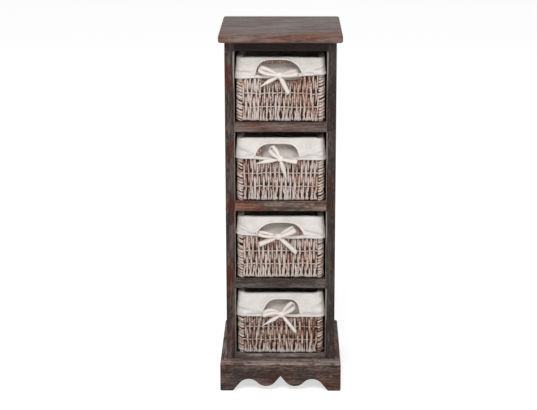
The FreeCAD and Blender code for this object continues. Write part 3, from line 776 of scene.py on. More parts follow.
def oval(sides: int, fullness: float = 1.0, camber: float = 0.0) -> np.ndarray:
    """Section of a strand or ribbon.

    The point at angle a is (cos a, sin a), each raised to the fullness with its sign kept, so that a
    value under 1 fills the corners, and then bent by camber times the square of the first.

    Args:
        sides: points round the section.
        fullness: power of cosine and sine.
        camber: bend across the section.

    Returns:
        The points, sides by 2.
    """
    angle = 2 * np.pi * np.arange(sides) / sides
    wave = powered(np.stack([np.cos(angle), np.sin(angle)], -1), fullness)
    return wave + np.stack([np.zeros(sides), camber * (wave[:, 0] ** 2 - 0.5)], -1)


def sweep(path: np.ndarray, across: np.ndarray, wide: np.ndarray, thick: np.ndarray, ring: np.ndarray,
          closed: bool = False) -> Tuple[np.ndarray, List[np.ndarray]]:
    """Carries a section along paths.

    Each point is path + N * wide * first + B * thick * second, where N is the direction across, made
    square to the path, and B is the path's direction crossed with N.

    Args:
        path: centres, paths by rings by 3.
        across: direction of the section's width, spread over the paths.
        wide: half width, spread over paths, rings and sides.
        thick: half thickness, spread likewise.
        ring: the section's points.
        closed: whether each path ends where it starts.

    Returns:
        Points, paths by rings by sides by 3, and their faces, with flat ends on open paths.
    """
    step = np.roll(path, -1, 1) - np.roll(path, 1, 1) if closed else np.gradient(path, axis=1)
    along = unit(step)
    across = np.broadcast_to(across, path.shape)
    side = unit(across - along * (across * along).sum(-1, keepdims=True))
    out = np.cross(along, side)
    shape = path.shape[:2] + (len(ring),)
    first = np.broadcast_to(wide, shape) * ring[:, 0]
    second = np.broadcast_to(thick, shape) * ring[:, 1]
    points = path[:, :, None] + side[:, :, None] * first[..., None] + out[:, :, None] * second[..., None]
    paths, rings, sides = shape
    one = grid_faces(rings, sides, True)
    number = np.arange(paths)[:, None, None] * rings * sides
    if closed:
        last = np.stack([np.arange(sides), np.roll(np.arange(sides), -1)], -1)
        seam = np.concatenate([last + (rings - 1) * sides, last[:, ::-1]], -1)
        return points, [(np.concatenate([one, seam]) + number).reshape(-1, 4)]
    caps = np.stack([np.arange(sides)[::-1], np.arange(sides) + (rings - 1) * sides])
    return points, [(one + number).reshape(-1, 4), (caps + number).reshape(-1, sides)]


@dataclass(frozen=True)
class Outline:
    """Rounded rectangle about a core rectangle, in millimetres; offsets are added to its radius."""

    half_wide: float
    front: float
    back: float
    radius: float

    def columns(self, front_places: np.ndarray, side_count: int, back_count: int,
                corner_count: int) -> Tuple[np.ndarray, np.ndarray]:
        """Places round the outline, from the front's left end and on to the right.

        Args:
            front_places: x of the places along the front, from one core corner to the other.
            side_count: places along each side.
            back_count: places along the back.
            corner_count: places within each quarter round.

        Returns:
            Core points and outward directions, each places by 2.
        """
        up = np.linspace(self.front, self.back, side_count)
        over = np.linspace(self.half_wide, -self.half_wide, back_count)
        runs = (
            (front_places, np.full_like(front_places, self.front), -90),
            (np.full_like(up, self.half_wide), up, 0),
            (over, np.full_like(over, self.back), 90),
            (np.full_like(up, -self.half_wide), up[::-1], 180),
        )
        turn = np.linspace(0, 90, corner_count + 2)[1:-1]
        core, angle = [], []
        for x, y, facing in runs:
            core += [np.stack([x, y], -1), np.broadcast_to((x[-1], y[-1]), (corner_count, 2))]
            angle += [np.full(len(x), float(facing)), facing + turn]
        turned = np.radians(np.concatenate(angle))
        return np.concatenate(core), np.stack([np.cos(turned), np.sin(turned)], -1)

    def at(self, core: np.ndarray, facing: np.ndarray, offset: Union[float, np.ndarray],
           height: np.ndarray) -> np.ndarray:
        """Points outside the outline.

        Args:
            core: core points, places by 2.
            facing: outward directions, places by 2.
            offset: distance outside the outline, spread over the heights.
            height: heights, spread over the places.

        Returns:
            The points, with height last.
        """
        offset, height = np.broadcast_arrays(offset, height)
        flat = core + facing * (self.radius + offset)[..., None]
        return np.concatenate([flat, height[..., None]], -1)

    def leaned(self, points: np.ndarray, base: float, rim: float, lean: float = 0.028,
               start: float = 0.62) -> np.ndarray:
        """Draws points in towards the middle near the rim, by a smooth rise over the upper third.

        Args:
            points: any places, with height last.
            base: height of the foot.
            rim: height of the rim.
            lean: share by which places shrink at the rim.
            start: share of the height at which they begin to.

        Returns:
            The moved points.
        """
        middle = np.array([0.0, (self.front + self.back) / 2, 0.0])
        size = 1 - lean * smooth((points[..., 2:] - base) / (rim - base), start, 1.0)
        return middle + (points - middle) * np.concatenate([size, size, np.ones_like(size)], -1)


@dataclass(frozen=True)
class Notch:
    """Arched hole of a liner's cuff, in millimetres: across from the middle, down from the liner's top.

    The powers say how full its ends are, from 3.2 for a slope to 5 for a square end, and the hems are the
    depths of the cuff at its left and right ends.
    """

    middle: float
    half_wide: float
    top: float
    hem_left: float
    hem_right: float
    left_power: float
    right_power: float

    def hem(self, share: Union[float, np.ndarray]) -> Union[float, np.ndarray]:
        """Depth of the hem at a share of the way from left to right."""
        return self.hem_left + (self.hem_right - self.hem_left) * share


@dataclass(frozen=True)
class Loop:
    """Loop of a bow, in millimetres: its tip from the knot, half the tape's and the loop's widths, its
    tilt in degrees and the rise of its middle."""

    across: float
    up: float
    half_wide: float
    half_open: float
    tilt: float
    arch: float = 0.0


@dataclass(frozen=True)
class Tail:
    """Tail of a bow, in millimetres: its end from the knot, half the tape's width, and the share of it
    at the end."""

    across: float
    up: float
    half_wide: float
    end_share: float


@dataclass(frozen=True)
class BowShape:
    """A bow: its knot across and up from the middle of the hem, its loops and its tails."""

    knot: Tuple[float, float]
    left_loop: Loop
    right_loop: Loop
    left_tail: Tail
    right_tail: Tail


@dataclass
class WickerBox:
    """Woven box: upright strands round light rods, bound corners, a bound handle hole and a woven floor.

    Sizes are in millimetres and depths are measured inwards from the outer face. The turn values give the
    three lowest places of a strand, where it turns in under the floor.
    """

    number: int
    outline: Outline
    base: float
    rim: float
    finish: WickerFibre
    pitch: float
    hole_bottom: float
    strand_half_thick: float = 1.1
    middle_depth: float = 2.5
    weave_depth: float = 1.35
    turn_heights: Place = (1.9, 2.1, 3.0)
    turn_depths: Place = (13.0, 6.0, 3.0)
    turn_fronts: Place = (0.4, 0.6, 0.9)
    foot_reach: float = 13.0
    foot_lift: float = 2.8
    sway: float = 0.5
    sway_length: float = 11.0
    splay: float = 1.1
    splay_height: float = 14.0
    splay_reach: float = 8.0
    rim_clear: float = 3.0
    hole_clear: float = 4.0
    hole_margin: float = 2.0
    corner_clear: float = 13.6
    foot_round: float = 10.5
    rod_radius: float = 1.25
    rod_shares: Tuple[float, ...] = (0.04, 0.24, 0.455, 0.69, 0.83, 0.965)
    rings_per_rod: int = 5
    cord_pitch: float = 6.1
    cord_half_high: float = 2.65
    cord_half_thick: float = 1.9
    cord_slant: float = 2.6
    cord_depth: float = 2.0
    cord_dip: float = 2.6
    cord_half_turn: float = 0.72
    cord_ends: Tuple[float, float] = (3.0, 6.0)
    cord_most: float = 1.1
    hole_half_wide: float = 39.0
    hole_top: float = 10.5
    hole_bend: float = 7.0
    web_depths: Tuple[float, float] = (4.3, 4.9)
    web_heights: Place = (2.5, 30.0, 60.0)
    web_clear: float = 5.0
    bar_pitch: float = 5.2
    bar_half_thick: float = 2.4
    bar_past: float = 9.0
    bar_tone: float = 0.05
    binding_half_high: float = 2.9
    binding_tone: float = 0.3
    floor_level: float = 2.6
    floor_past: float = 3.0
    floor_rods: int = 9
    floor_rod_radius: float = 1.0
    floor_strand_halves: Tuple[float, float] = (2.35, 0.95)
    surface: Surface = field(default_factory=Surface)

    def __post_init__(self) -> None:
        """Seeds the basket's own unevenness."""
        self.chance = np.random.default_rng(40 + self.number)
        self.height = self.rim - self.base
        self.rods = np.asarray(self.rod_shares) * self.height

    def strands(self, foot: np.ndarray, along: np.ndarray, out: np.ndarray, top: float,
                odd: np.ndarray) -> None:
        """Adds upright strands that pass the rods on alternate sides.

        A strand's depth at height z is the middle depth less weave_depth * cos(pi * (r + i)), where r
        counts the rods below z and i the strands. Towards the foot all come forward, and below the lowest
        rod they turn in under the floor. A strand is widest between rods and at its foot, it sways, and
        above the foot neighbours splay or close up. Light and shade are painted on it: it is lighter in front
        of a rod and on its outer face, and darker behind a rod and on its sides near the rods and above the
        foot.

        Args:
            foot: places on the outer face, strands by 2.
            along: direction along the wall, 2 values.
            out: outward direction, 2 values.
            top: height of the upper ends above the base.
            odd: 0 or 1 for each strand.
        """
        each = (len(foot), 1)
        ring = oval(6)
        number = np.arange(len(self.rods))
        last = np.interp(top, self.rods, number)
        phase = np.linspace(0, last, int(round(last * self.rings_per_rod)) + 1)
        height = np.interp(phase, number, self.rods)
        uneven = self.chance.normal(0, 0.08, each)
        front = 0.5 + 0.5 * np.cos(np.pi * (phase + odd[:, None] + uneven))
        near = np.abs(2 * front - 1)
        front = front + (1 - front) * bell(height, 0.0, self.foot_reach)
        depth = self.middle_depth + self.weave_depth * (1 - 2 * front)
        height = np.concatenate([self.turn_heights, height])
        depth = np.concatenate([np.ones(each) * self.turn_depths, depth], 1)
        front = np.concatenate([np.ones(each) * self.turn_fronts, front], 1)
        near = np.concatenate([np.ones((len(foot), len(self.turn_heights))), near], 1)
        lean = self.chance.normal(0, 1.0, each) * (height / self.height - 0.4)
        start = self.chance.uniform(0, 6, each)
        bow = self.chance.normal(0, self.sway, each) * np.sin(height / self.sway_length + start)
        splay = self.chance.normal(0, 1.2, each) + (1 - 2 * odd[:, None]) * self.splay
        splay = splay * bell(height, self.splay_height, self.splay_reach)
        shift = lean + bow + splay + self.chance.normal(0, 0.3, front.shape)
        flat = foot[:, None] - out * depth[..., None] + along * shift[..., None]
        lift = self.chance.uniform(0, self.foot_lift, each) * bell(height, 0.0, 6.0)
        path = np.concatenate([flat, (self.base + height + lift)[..., None]], -1)
        size = self.chance.normal(1, 0.16, each) * self.chance.normal(1, 0.07, front.shape)
        swell = 0.5 * bell(height, 0.0, 7.0) - 0.2 * bell(height, 15.0, 6.0)
        wide = self.pitch / 2 * size * (1.02 - 0.26 * near + 0.18 * front + swell)
        thick = self.strand_half_thick * (0.9 + 0.2 * front + np.maximum(swell, 0))
        points, faces = sweep(path, np.append(along, 0.0), wide[..., None], thick[..., None], ring)
        outer = np.maximum(-ring[:, 1], 0)
        tone = self.chance.normal(0.50, 0.15, each) + 0.6 * bell(height, 0.0, 11.0)
        # painted light: a strand is lighter in front of a rod
        tone = tone + 0.34 * front + self.chance.normal(0, 0.09, front.shape)
        # painted shade: darker along the sides near the rods and above the foot
        seam = 0.44 + 0.46 * near * (1 - front) + 0.3 * bell(height, 12.0, 7.0)
        # painted shade: darker where a strand lies deep behind a rod
        hollow = np.clip(smooth(depth, 3.3, 3.8)[..., None] + seam[..., None] * (1 - outer), 0, 1)
        # painted highlight: the outer face of each strand is lighter
        self.surface.add(points, faces, tone=tone[..., None] + 0.12 * outer, hollow=hollow)

    def walls(self) -> None:
        """Adds the strands of the four walls, those under the handle hole cut short."""
        reach = self.outline.radius - self.corner_clear
        half, front, back = self.outline.half_wide, self.outline.front, self.outline.back
        core = np.array([[-half, front], [half, front], [half, back], [-half, back]])
        for side in range(4):
            start, end = core[side], core[(side + 1) % 4]
            along = unit(end - start)
            out = np.array([along[1], -along[0]])
            length = np.linalg.norm(end - start) + 2 * reach
            count = 2 * round(length / self.pitch / 2)
            step = (np.arange(count) + 0.5) * length / count - reach + self.chance.normal(0, 0.5, count)
            foot = start + along * step[:, None] + out * self.outline.radius
            odd = np.arange(count) % 2
            short = (np.abs(foot[:, 0]) < self.hole_half_wide + self.hole_margin) & (side == 0)
            below_hole = self.height - self.hole_bottom - self.hole_clear
            for chosen, top in ((~short, self.height - self.rim_clear), (short, below_hole)):
                if chosen.any():
                    self.strands(foot[chosen], along, out, top, odd[chosen])

    def loops(self) -> None:
        """Adds the light rods below the handle hole: closed loops round the box that wave up and down.

        The lowest rod has no loop, since the strands' feet cover it.
        """
        places = np.linspace(-self.outline.half_wide, self.outline.half_wide, 15)
        core, facing = self.outline.columns(places, 19, 15, 5)
        upper = self.rods[1:]
        heights = self.base + upper[upper < self.height - self.hole_bottom]
        wave = self.chance.uniform(0, 6, (len(heights), 1)) + np.arange(len(core)) * 0.7
        height = heights[:, None] + 0.8 * np.sin(wave) + self.chance.normal(0, 0.6, wave.shape)
        path = self.outline.at(core, facing, -self.middle_depth, height)
        points, faces = sweep(path, UPWARD, self.rod_radius, self.rod_radius, oval(6), True)
        self.surface.add(points, faces, tone=0.86, hollow=0.05)

    def shade_sheet(self) -> None:
        """Adds a dark sheet behind the strands, open at the handle, which paints the shade in the gaps of the
        weave.

        Each of its two faces is the outline at one depth, over six heights, without the quads between the
        hole's edges.
        """
        half, edge = self.hole_half_wide, self.outline.half_wide
        beside, across, hole_row = 6, 12, 3
        places = np.concatenate([np.linspace(-edge, -half, beside), np.linspace(-half, half, across)[1:-1],
                                 np.linspace(half, edge, beside)])
        core, facing = self.outline.columns(places, 12, 9, 4)
        below_rim = (self.hole_bottom, self.hole_top, self.web_clear)
        up = np.array([*self.web_heights, *(self.height - drop for drop in below_rim)])
        rows, columns = len(up), len(core)
        kept = np.ones((rows - 1, columns), bool)
        kept[hole_row, beside - 1:beside + across - 2] = False
        faces = grid_faces(rows, columns, True)[kept.ravel()]
        for depth, order in zip(self.web_depths, (slice(None), slice(None, None, -1))):
            offset = np.full((rows, columns), -depth)
            layer = self.outline.at(core, facing, offset, (self.base + up)[:, None])
            # painted shade: fully dark
            self.surface.add(layer, [faces[:, order]], tone=0.2, hollow=1.0)

    def corners(self) -> None:
        """Adds the cords that bind the corners: slanted turns round each quarter round.

        A cord runs along the outline from one wall to the other, rises steadily outwards as the front
        shows it, and dips into the weave at both ends. Near the foot it draws in along a quarter round.
        """
        cords = int(self.height // self.cord_pitch)
        each = (cords, 1)
        ring = oval(8)
        share = np.linspace(-1, 1, 9)
        radius = self.outline.radius - self.cord_depth
        level = (np.arange(cords)[:, None] + 0.55) * self.height / cords
        # painted shade at the cords' ends, where they dip into the weave, and along their sides
        dark = smooth(np.abs(share), 0.75, 1.05)[:, None] * 0.8 + 0.4 * np.abs(ring[:, 0]) ** 2
        for side, (x, y) in enumerate(((1, -1), (1, 1), (-1, 1), (-1, -1))):
            angle = math.radians(-45 + 90 * side) + share * self.cord_half_turn
            facing = np.stack([np.cos(angle), np.sin(angle)], -1)
            wall = self.outline.front if y < 0 else self.outline.back
            middle = np.array([x * self.outline.half_wide, wall])
            slant = self.chance.normal(self.cord_slant, 0.5, each) * (1 if x * y < 0 else -1)
            height = level + self.chance.normal(0, 0.8, each) + slant * share
            height = np.clip(height, self.cord_ends[0], self.height - self.cord_ends[1])
            under = np.clip(1 - height / self.foot_round, 0, 1)
            dip = self.cord_dip * smooth(np.abs(share), 0.6, 1.0)
            draw = dip + self.foot_round * (1 - np.sqrt(1 - under ** 2)) + self.chance.normal(0, 0.5, each)
            flat = middle + facing * (radius - draw)[..., None]
            path = np.concatenate([flat, (self.base + height)[..., None]], -1)
            size = np.minimum(self.chance.normal(1, 0.17, (cords, 1, 1)), self.cord_most)
            points, faces = sweep(path, UPWARD, self.cord_half_high * size, self.cord_half_thick * size, ring)
            tone = self.chance.normal(1.0, 0.16, (cords, 1, 1))
            self.surface.add(points, faces, tone=tone, hollow=np.clip(dark, 0, 1))

    def bound_bar(self, path: np.ndarray, half_high: float, tone: float) -> None:
        """Adds a bar bound with cord: an oval tube whose radius swells with each slanted turn.

        The radius is scaled by 0.88 + 0.2 * |sin(pi * (s / p + a / 2 pi))|, where s is the way along the
        path, p the cord's pitch and a the angle round the tube.

        Args:
            path: the bar's centre line, rings by 3.
            half_high: half height of the bar.
            tone: how light the fibre is.
        """
        ring = oval(10)
        around = np.arange(len(ring)) / len(ring)
        turn = np.abs(np.sin(np.pi * (way_along(path)[:, None] / self.bar_pitch + around)))
        scale = 0.88 + 0.2 * turn
        points, faces = sweep(path[None], BACKWARD, self.bar_half_thick * scale, half_high * scale, ring)
        # painted light on each turn's swell and painted shade between the turns
        light = tone + 0.4 * turn + self.chance.normal(0, 0.08, turn.shape)
        self.surface.add(points, faces, tone=light, hollow=0.25 + 0.6 * (1 - turn) ** 2)

    def handle(self) -> None:
        """Adds the bound bar over the handle hole and the binding round the hole's ends and lower edge.

        The bar is straight, and the binding runs down, round a quarter circle, along and up again.
        """
        depth = self.outline.front - self.outline.radius + self.middle_depth
        reach = self.hole_half_wide + self.bar_past
        across = np.linspace(-reach, reach, 90)
        level = self.rim - self.hole_top / 2 - 1.0
        bar = np.stack([across, np.full_like(across, depth), np.full_like(across, level)], -1)
        self.bound_bar(bar, self.hole_top / 2 - 1.0, self.bar_tone)
        half, bend = self.hole_half_wide + 3.0, self.hole_bend
        low, high = self.rim - self.hole_bottom - 3.0, self.rim - self.hole_top + 2.0
        turn = np.linspace(0, np.pi / 2, 14)
        upright = np.stack([np.full(26, -half), np.linspace(high, low + bend, 26)], -1)
        quarter = np.stack([-half + bend - bend * np.cos(turn), low + bend - bend * np.sin(turn)], -1)
        level_run = np.stack([np.linspace(-half + bend, half - bend, 70), np.full(70, low)], -1)
        end = np.concatenate([upright, quarter[1:]])
        line = np.concatenate([end, level_run[1:-1], (end * (-1, 1))[::-1]])
        path = np.stack([line[:, 0], np.full(len(line), depth), line[:, 1]], -1)
        self.bound_bar(path, self.binding_half_high, self.binding_tone)

    def floor(self) -> None:
        """Adds the woven floor: strands from front to back that pass cross rods on alternate sides.

        A strand's height is the floor's level plus cos(pi * (r + i)), where r counts the rods passed and i
        the strands.
        """
        half, past = self.outline.half_wide, self.floor_past
        front, back = self.outline.front - past, self.outline.back + past
        rods, middle = self.floor_rods, self.base + self.floor_level
        count = 2 * round(2 * half / self.pitch / 2)
        across = (np.arange(count) + 0.5) * 2 * half / count - half
        phase = np.linspace(0, rods, 3 * rods + 1)
        way = front + (back - front) * phase / rods
        level = middle + np.cos(np.pi * (phase + (np.arange(count) % 2)[:, None]))
        path = np.stack(np.broadcast_arrays(across[:, None], way, level), -1)
        size = self.chance.normal(1, 0.08, (count, 1, 1))
        half_wide, half_thick = self.floor_strand_halves
        points, faces = sweep(path, np.array([1.0, 0.0, 0.0]), half_wide * size, half_thick, oval(6))
        self.surface.add(points, faces, tone=self.chance.normal(0.5, 0.15, (count, 1, 1)), hollow=0.1)
        place = np.linspace(front, back, rods + 1)[1:-1]
        over = np.linspace(-half - past, half + past, 4)
        rod = np.stack(np.broadcast_arrays(over, place[:, None], middle), -1)
        points, faces = sweep(rod, UPWARD, self.floor_rod_radius, self.floor_rod_radius, oval(6))
        self.surface.add(points, faces, tone=0.8, hollow=0.0)

    def build(self) -> bpy.types.Object:
        """Builds the woven box and dresses it.

        Returns:
            The box, leaned in towards its rim.
        """
        self.walls()
        self.loops()
        self.shade_sheet()
        self.corners()
        self.handle()
        self.floor()
        self.surface.points = [self.outline.leaned(block, self.base, self.rim)
                               for block in self.surface.points]
        return self.surface.piece(f"basket_{self.number}_weave", self.finish.material())


@dataclass
class Liner:
    """Cloth liner: a cuff with an arched notch, the fold over the rim, the lining and its floor.

    Sizes are in millimetres, and offsets are measured outwards from the basket's outline.
    """

    number: int
    outline: Outline
    base: float
    top: float
    notch: Notch
    cotton: bpy.types.Material
    tape: bpy.types.Material
    corner_drop: float
    corner_reach: float = 9.0
    strip: float = 4.6
    strip_puff: float = 0.9
    strip_lift: float = 0.15
    cloth: float = 1.0
    cuff_offset: float = 0.95
    flare: float = 1.0
    least_offset: float = 0.8
    front_limit: float = 5.0
    side_limit: float = 2.6
    lining_offset: float = -10.6
    floor_gap: float = 5.9
    shoulder: float = 2.4
    roundness: float = 0.7
    binding_half: float = 2.1
    binding_half_thick: float = 1.5
    belly: float = 11.0
    belly_half: float = 52.0
    belly_drops: Place = (2.0, 12.0, 48.0)
    crown_rise: float = 0.3
    crown_wave: float = 0.6
    hem_reach: float = 60.0
    side_wave: float = 0.55
    lining_sag: float = 1.1
    floor_wave: float = 0.7
    fold_rises: Tuple[float, float] = (1.8, 3.6)
    fold_widths: Tuple[float, float] = (3.2, 5.4)
    fold_ends: Tuple[float, float] = (82.0, 92.0)
    folds_beside: int = 4
    beside: int = 20
    strip_rows: int = 6
    cuff_rows: int = 21
    fold_rows: int = 8
    lining_rows: int = 20
    floor_rows: int = 8

    def __post_init__(self) -> None:
        """Places the columns round the outline, close together across the notch's ends."""
        self.chance = np.random.default_rng(70 + self.number)
        edge, hole, beside = self.outline.half_wide, self.notch, self.beside
        left, right = hole.middle - hole.half_wide, hole.middle + hole.half_wide
        inside = hole.middle + hole.half_wide * np.sin(np.linspace(-np.pi / 2, np.pi / 2, 35))
        places = np.concatenate([np.linspace(-edge, left, beside + 1)[:-1], inside,
                                 np.linspace(right, edge, beside + 1)[1:]])
        core, facing = self.outline.columns(places, 26, 20, 7)
        self.core = np.concatenate([core, core[:1]])
        self.facing = np.concatenate([facing, facing[:1]])
        self.on_front = self.facing[:, 1] < -0.7
        self.across_notch = slice(beside, beside + len(inside))
        flat = self.core + self.facing * self.outline.radius
        self.x, self.y = flat[:, 0], flat[:, 1]
        self.way = way_along(flat)

    def crown(self) -> np.ndarray:
        """Height of the fold over the rim: level, with slow waves and a drop or peak round each corner.

        The waves are the mean of three sines round the outline, and the drop is a bell about each corner.

        Returns:
            A height for each column.
        """
        reach = self.corner_reach
        ahead = np.abs(self.y - self.outline.front + reach)
        behind = np.abs(self.y - self.outline.back - reach)
        corner = np.hypot(np.abs(self.x) - self.outline.half_wide - reach, np.minimum(ahead, behind))
        turns = zip((3, 7, 12), self.chance.uniform(0, 6, 3))
        wave = sum(np.sin(2 * np.pi * n * self.way / self.way[-1] + phase) for n, phase in turns) / 3
        level = self.top + self.crown_rise + self.crown_wave * wave
        return level - self.corner_drop * bell(corner, 0.0, reach)

    def hem(self) -> np.ndarray:
        """Height of the hem: a straight slope across the front that levels out along the sides.

        Returns:
            A height for each column.
        """
        half = self.outline.half_wide + self.outline.radius
        slope = self.notch.hem((self.x / half + 1) / 2)
        near = bell(self.y, self.outline.front - self.outline.radius, self.hem_reach)
        return self.top - HEM_DROP - (slope - HEM_DROP) * near

    def arch(self, strip_top: np.ndarray) -> np.ndarray:
        """Lower edge of the cuff above the strip: raised over the notch by a power of the way across.

        With u from -1 to 1 across the notch, the rise is (1 - |u|^p)^q, where p is the end's power and q
        goes from 0.75 for a sloping end to 0.5 for a square one.

        Args:
            strip_top: height of the strip's upper edge in each column.

        Returns:
            A height for each column.
        """
        u = (self.x - self.notch.middle) / self.notch.half_wide
        inside = np.zeros(len(u), bool)
        inside[self.across_notch] = True
        power = np.where(u < 0, self.notch.left_power, self.notch.right_power)
        reach = np.clip(1 - np.abs(np.where(inside, u, 1)) ** power, 0, 1)
        rise = reach ** np.interp(power, (3.2, 4.6), (0.75, 0.5))
        return strip_top + (self.top - self.notch.top - strip_top) * rise

    def folds(self, height: np.ndarray) -> np.ndarray:
        """Outward rise of the cuff's folds.

        Each fold on the front is a ridge along a line from an end of the notch to the cuff's side: its
        rise is a bell of the distance from the line, narrower below it, and it fades at both ends. Round
        the sides and back the cuff follows two sine waves, which grow towards its hem.

        Args:
            height: heights of the cuff's rows, rows by columns.

        Returns:
            The rise in millimetres.
        """
        total = np.zeros(height.shape)
        low = self.top - (self.notch.hem_left + self.notch.hem_right) / 2
        for sign in (-1, 1):
            end = self.notch.middle + sign * self.notch.half_wide
            for _ in range(self.folds_beside):
                start = np.array([end + sign * self.chance.uniform(0, 9), low + self.chance.uniform(7, 17)])
                far = sign * self.chance.uniform(*self.fold_ends)
                stop = np.array([far, low + self.chance.uniform(4, 38)])
                line = unit(stop - start)
                aside, above = self.x - start[0], height - start[1]
                gap = aside * -line[1] + above * line[0]
                share = (aside * line[0] + above * line[1]) / np.linalg.norm(stop - start)
                fade = smooth(share, -0.15, 0.2) * (1 - smooth(share, 0.75, 1.15))
                size = self.chance.uniform(*self.fold_rises)
                width = self.chance.uniform(*self.fold_widths)
                total += size * fade * bell(gap, 0.0, np.where(gap * sign > 0, width, width * 0.45))
        down = (self.top - height) / HEM_DROP
        slow = np.sin(self.way / 11.0 + self.number)
        quick = np.sin(self.way / 5.3 + 2 * self.number + 2 * down)
        wave = slow + 0.6 * quick
        return np.where(self.on_front, total, self.side_wave * (1 + wave) * (0.25 + 0.75 * down))

    def cuff(self, shoulder: np.ndarray) -> Tuple[np.ndarray, np.ndarray]:
        """The strip along the hem and the cuff above it, which flares and folds.

        Args:
            shoulder: height in each column at which the fold over the rim begins.

        Returns:
            Heights and offsets, each rows by columns.
        """
        hem = self.hem()
        up = np.linspace(0, 1, self.strip_rows)[:, None]
        rise = np.linspace(0, 1, self.cuff_rows)[:, None]
        arch = self.arch(hem + self.strip)
        height = np.concatenate([hem + up * self.strip, arch + rise * (shoulder - arch)])
        out = self.cuff_offset + self.flare * ((self.top - height) / HEM_DROP) ** 2 + self.folds(height)
        out[:self.strip_rows] += self.strip_puff * np.sin(np.pi * up) + self.strip_lift
        limit = np.where(self.on_front, self.front_limit, self.side_limit)
        return height, np.clip(out, self.least_offset, limit)

    def lining(self, crown: np.ndarray, shoulder: np.ndarray) -> Tuple[np.ndarray, np.ndarray]:
        """The wall inside the basket, which sags in waves and bellies inwards behind the notch.

        Args:
            crown: height of the fold in each column.
            shoulder: height in each column at which the fold ends.

        Returns:
            Heights and offsets, each rows by columns.
        """
        down = np.linspace(0, 1, self.lining_rows)[:, None]
        height = shoulder + down * (self.base + self.floor_gap - shoulder)
        sag = np.sin(self.way / 17.0 + 2 * self.number + 3 * down) + 0.6 * np.sin(self.way / 6.1 - 5 * down)
        sag = self.lining_sag * sag * np.sin(np.pi * down)
        below = crown - height
        start, full, end = self.belly_drops
        belly = smooth(below, start, full) * (1 - smooth(below, full, end))
        belly = belly * np.exp(-((self.x - self.notch.middle) / self.belly_half) ** 4)
        return height, self.lining_offset - np.abs(sag) - self.belly * belly * self.on_front

    def floor(self, foot: np.ndarray) -> np.ndarray:
        """The lining's floor: rows that close in from the wall to a line along the middle, with low waves.

        Args:
            foot: the lining's lowest row, columns by 3.

        Returns:
            The points, rows by columns by 3.
        """
        edge = (self.outline.half_wide + self.outline.radius + self.lining_offset) * 0.8
        middle = np.clip(self.core[:, 1], self.outline.front + edge, self.outline.back - edge)
        level = np.full(len(middle), self.base + self.floor_gap)
        line = np.stack([np.zeros(len(middle)), middle, level], -1)
        share = np.linspace(0, 1, self.floor_rows + 1)[1:, None, None]
        floor = foot * (1 - share) + line * share
        wave = np.sin(floor[..., 0] / 15.0 + self.number) * np.sin(floor[..., 1] / 19.0)
        floor[..., 2] += self.floor_wave * (1 + wave)
        return floor

    def rows(self) -> np.ndarray:
        """Points of the sheet, from the hem up the cuff, over the rim, down the lining and over the floor.

        Over the rim the section is half an oval whose cosine and sine are raised to the roundness.

        Returns:
            The points, rows by columns by 3.
        """
        crown = self.crown()
        shoulder = crown - self.shoulder
        height, out = self.cuff(shoulder)
        turn = np.linspace(0, np.pi, self.fold_rows + 2)[1:-1, None]
        middle, half = (out[-1] + self.lining_offset) / 2, (out[-1] - self.lining_offset) / 2
        over = middle + half * powered(np.cos(turn), self.roundness)
        over_height = shoulder + self.shoulder * np.sin(turn) ** self.roundness
        inner_height, inner = self.lining(crown, shoulder)
        wall = self.outline.at(self.core, self.facing, np.concatenate([out, over, inner]),
                               np.concatenate([height, over_height, inner_height]))
        sheet = np.concatenate([wall, self.floor(wall[-1])])
        return self.outline.leaned(sheet, self.base, self.top)

    def binding(self, arch: np.ndarray) -> bpy.types.Object:
        """Builds the binding of the notch, an oval tube that follows the arch just outside it.

        Args:
            arch: points along the notch's upper edge.

        Returns:
            The binding.
        """
        step = unit(np.gradient(arch[:, ::2], axis=0))
        aside = np.stack([-step[:, 1], np.zeros(len(step)), step[:, 0]], -1)
        path = arch + aside * self.binding_half * 0.75 + FORWARD
        ring = oval(8)
        points, faces = sweep(path[None], BACKWARD, self.binding_half_thick, self.binding_half, ring)
        uv = np.stack(np.broadcast_arrays(ring[:, 1] * 3.0, way_along(path)[:, None]), -1)
        surface = Surface()
        surface.add(points, faces, uv=uv)
        return surface.piece(f"basket_{self.number}_notch_edge", self.tape)

    def build(self) -> Tuple[bpy.types.Object, bpy.types.Object]:
        """Builds the liner, open between the strip and the arch, and the binding of its notch.

        Returns:
            The liner and the binding.
        """
        points = self.rows()
        rows, columns = points.shape[:2]
        faces = grid_faces(rows, columns).reshape(rows - 1, columns - 1, 4)
        faces = np.delete(faces, self.strip_rows - 1, 0).reshape(-1, 4)
        surface = Surface()
        surface.add(points, [faces], uv=np.stack(np.broadcast_arrays(self.way, way_along(points)), -1))
        liner = surface.piece(f"basket_{self.number}_cloth", self.cotton, 0.02)
        thickness = liner.modifiers.new("cloth thickness", "SOLIDIFY")
        thickness.thickness = self.cloth * MM
        thickness.offset = 0.0
        return liner, self.binding(points[self.strip_rows, self.across_notch])


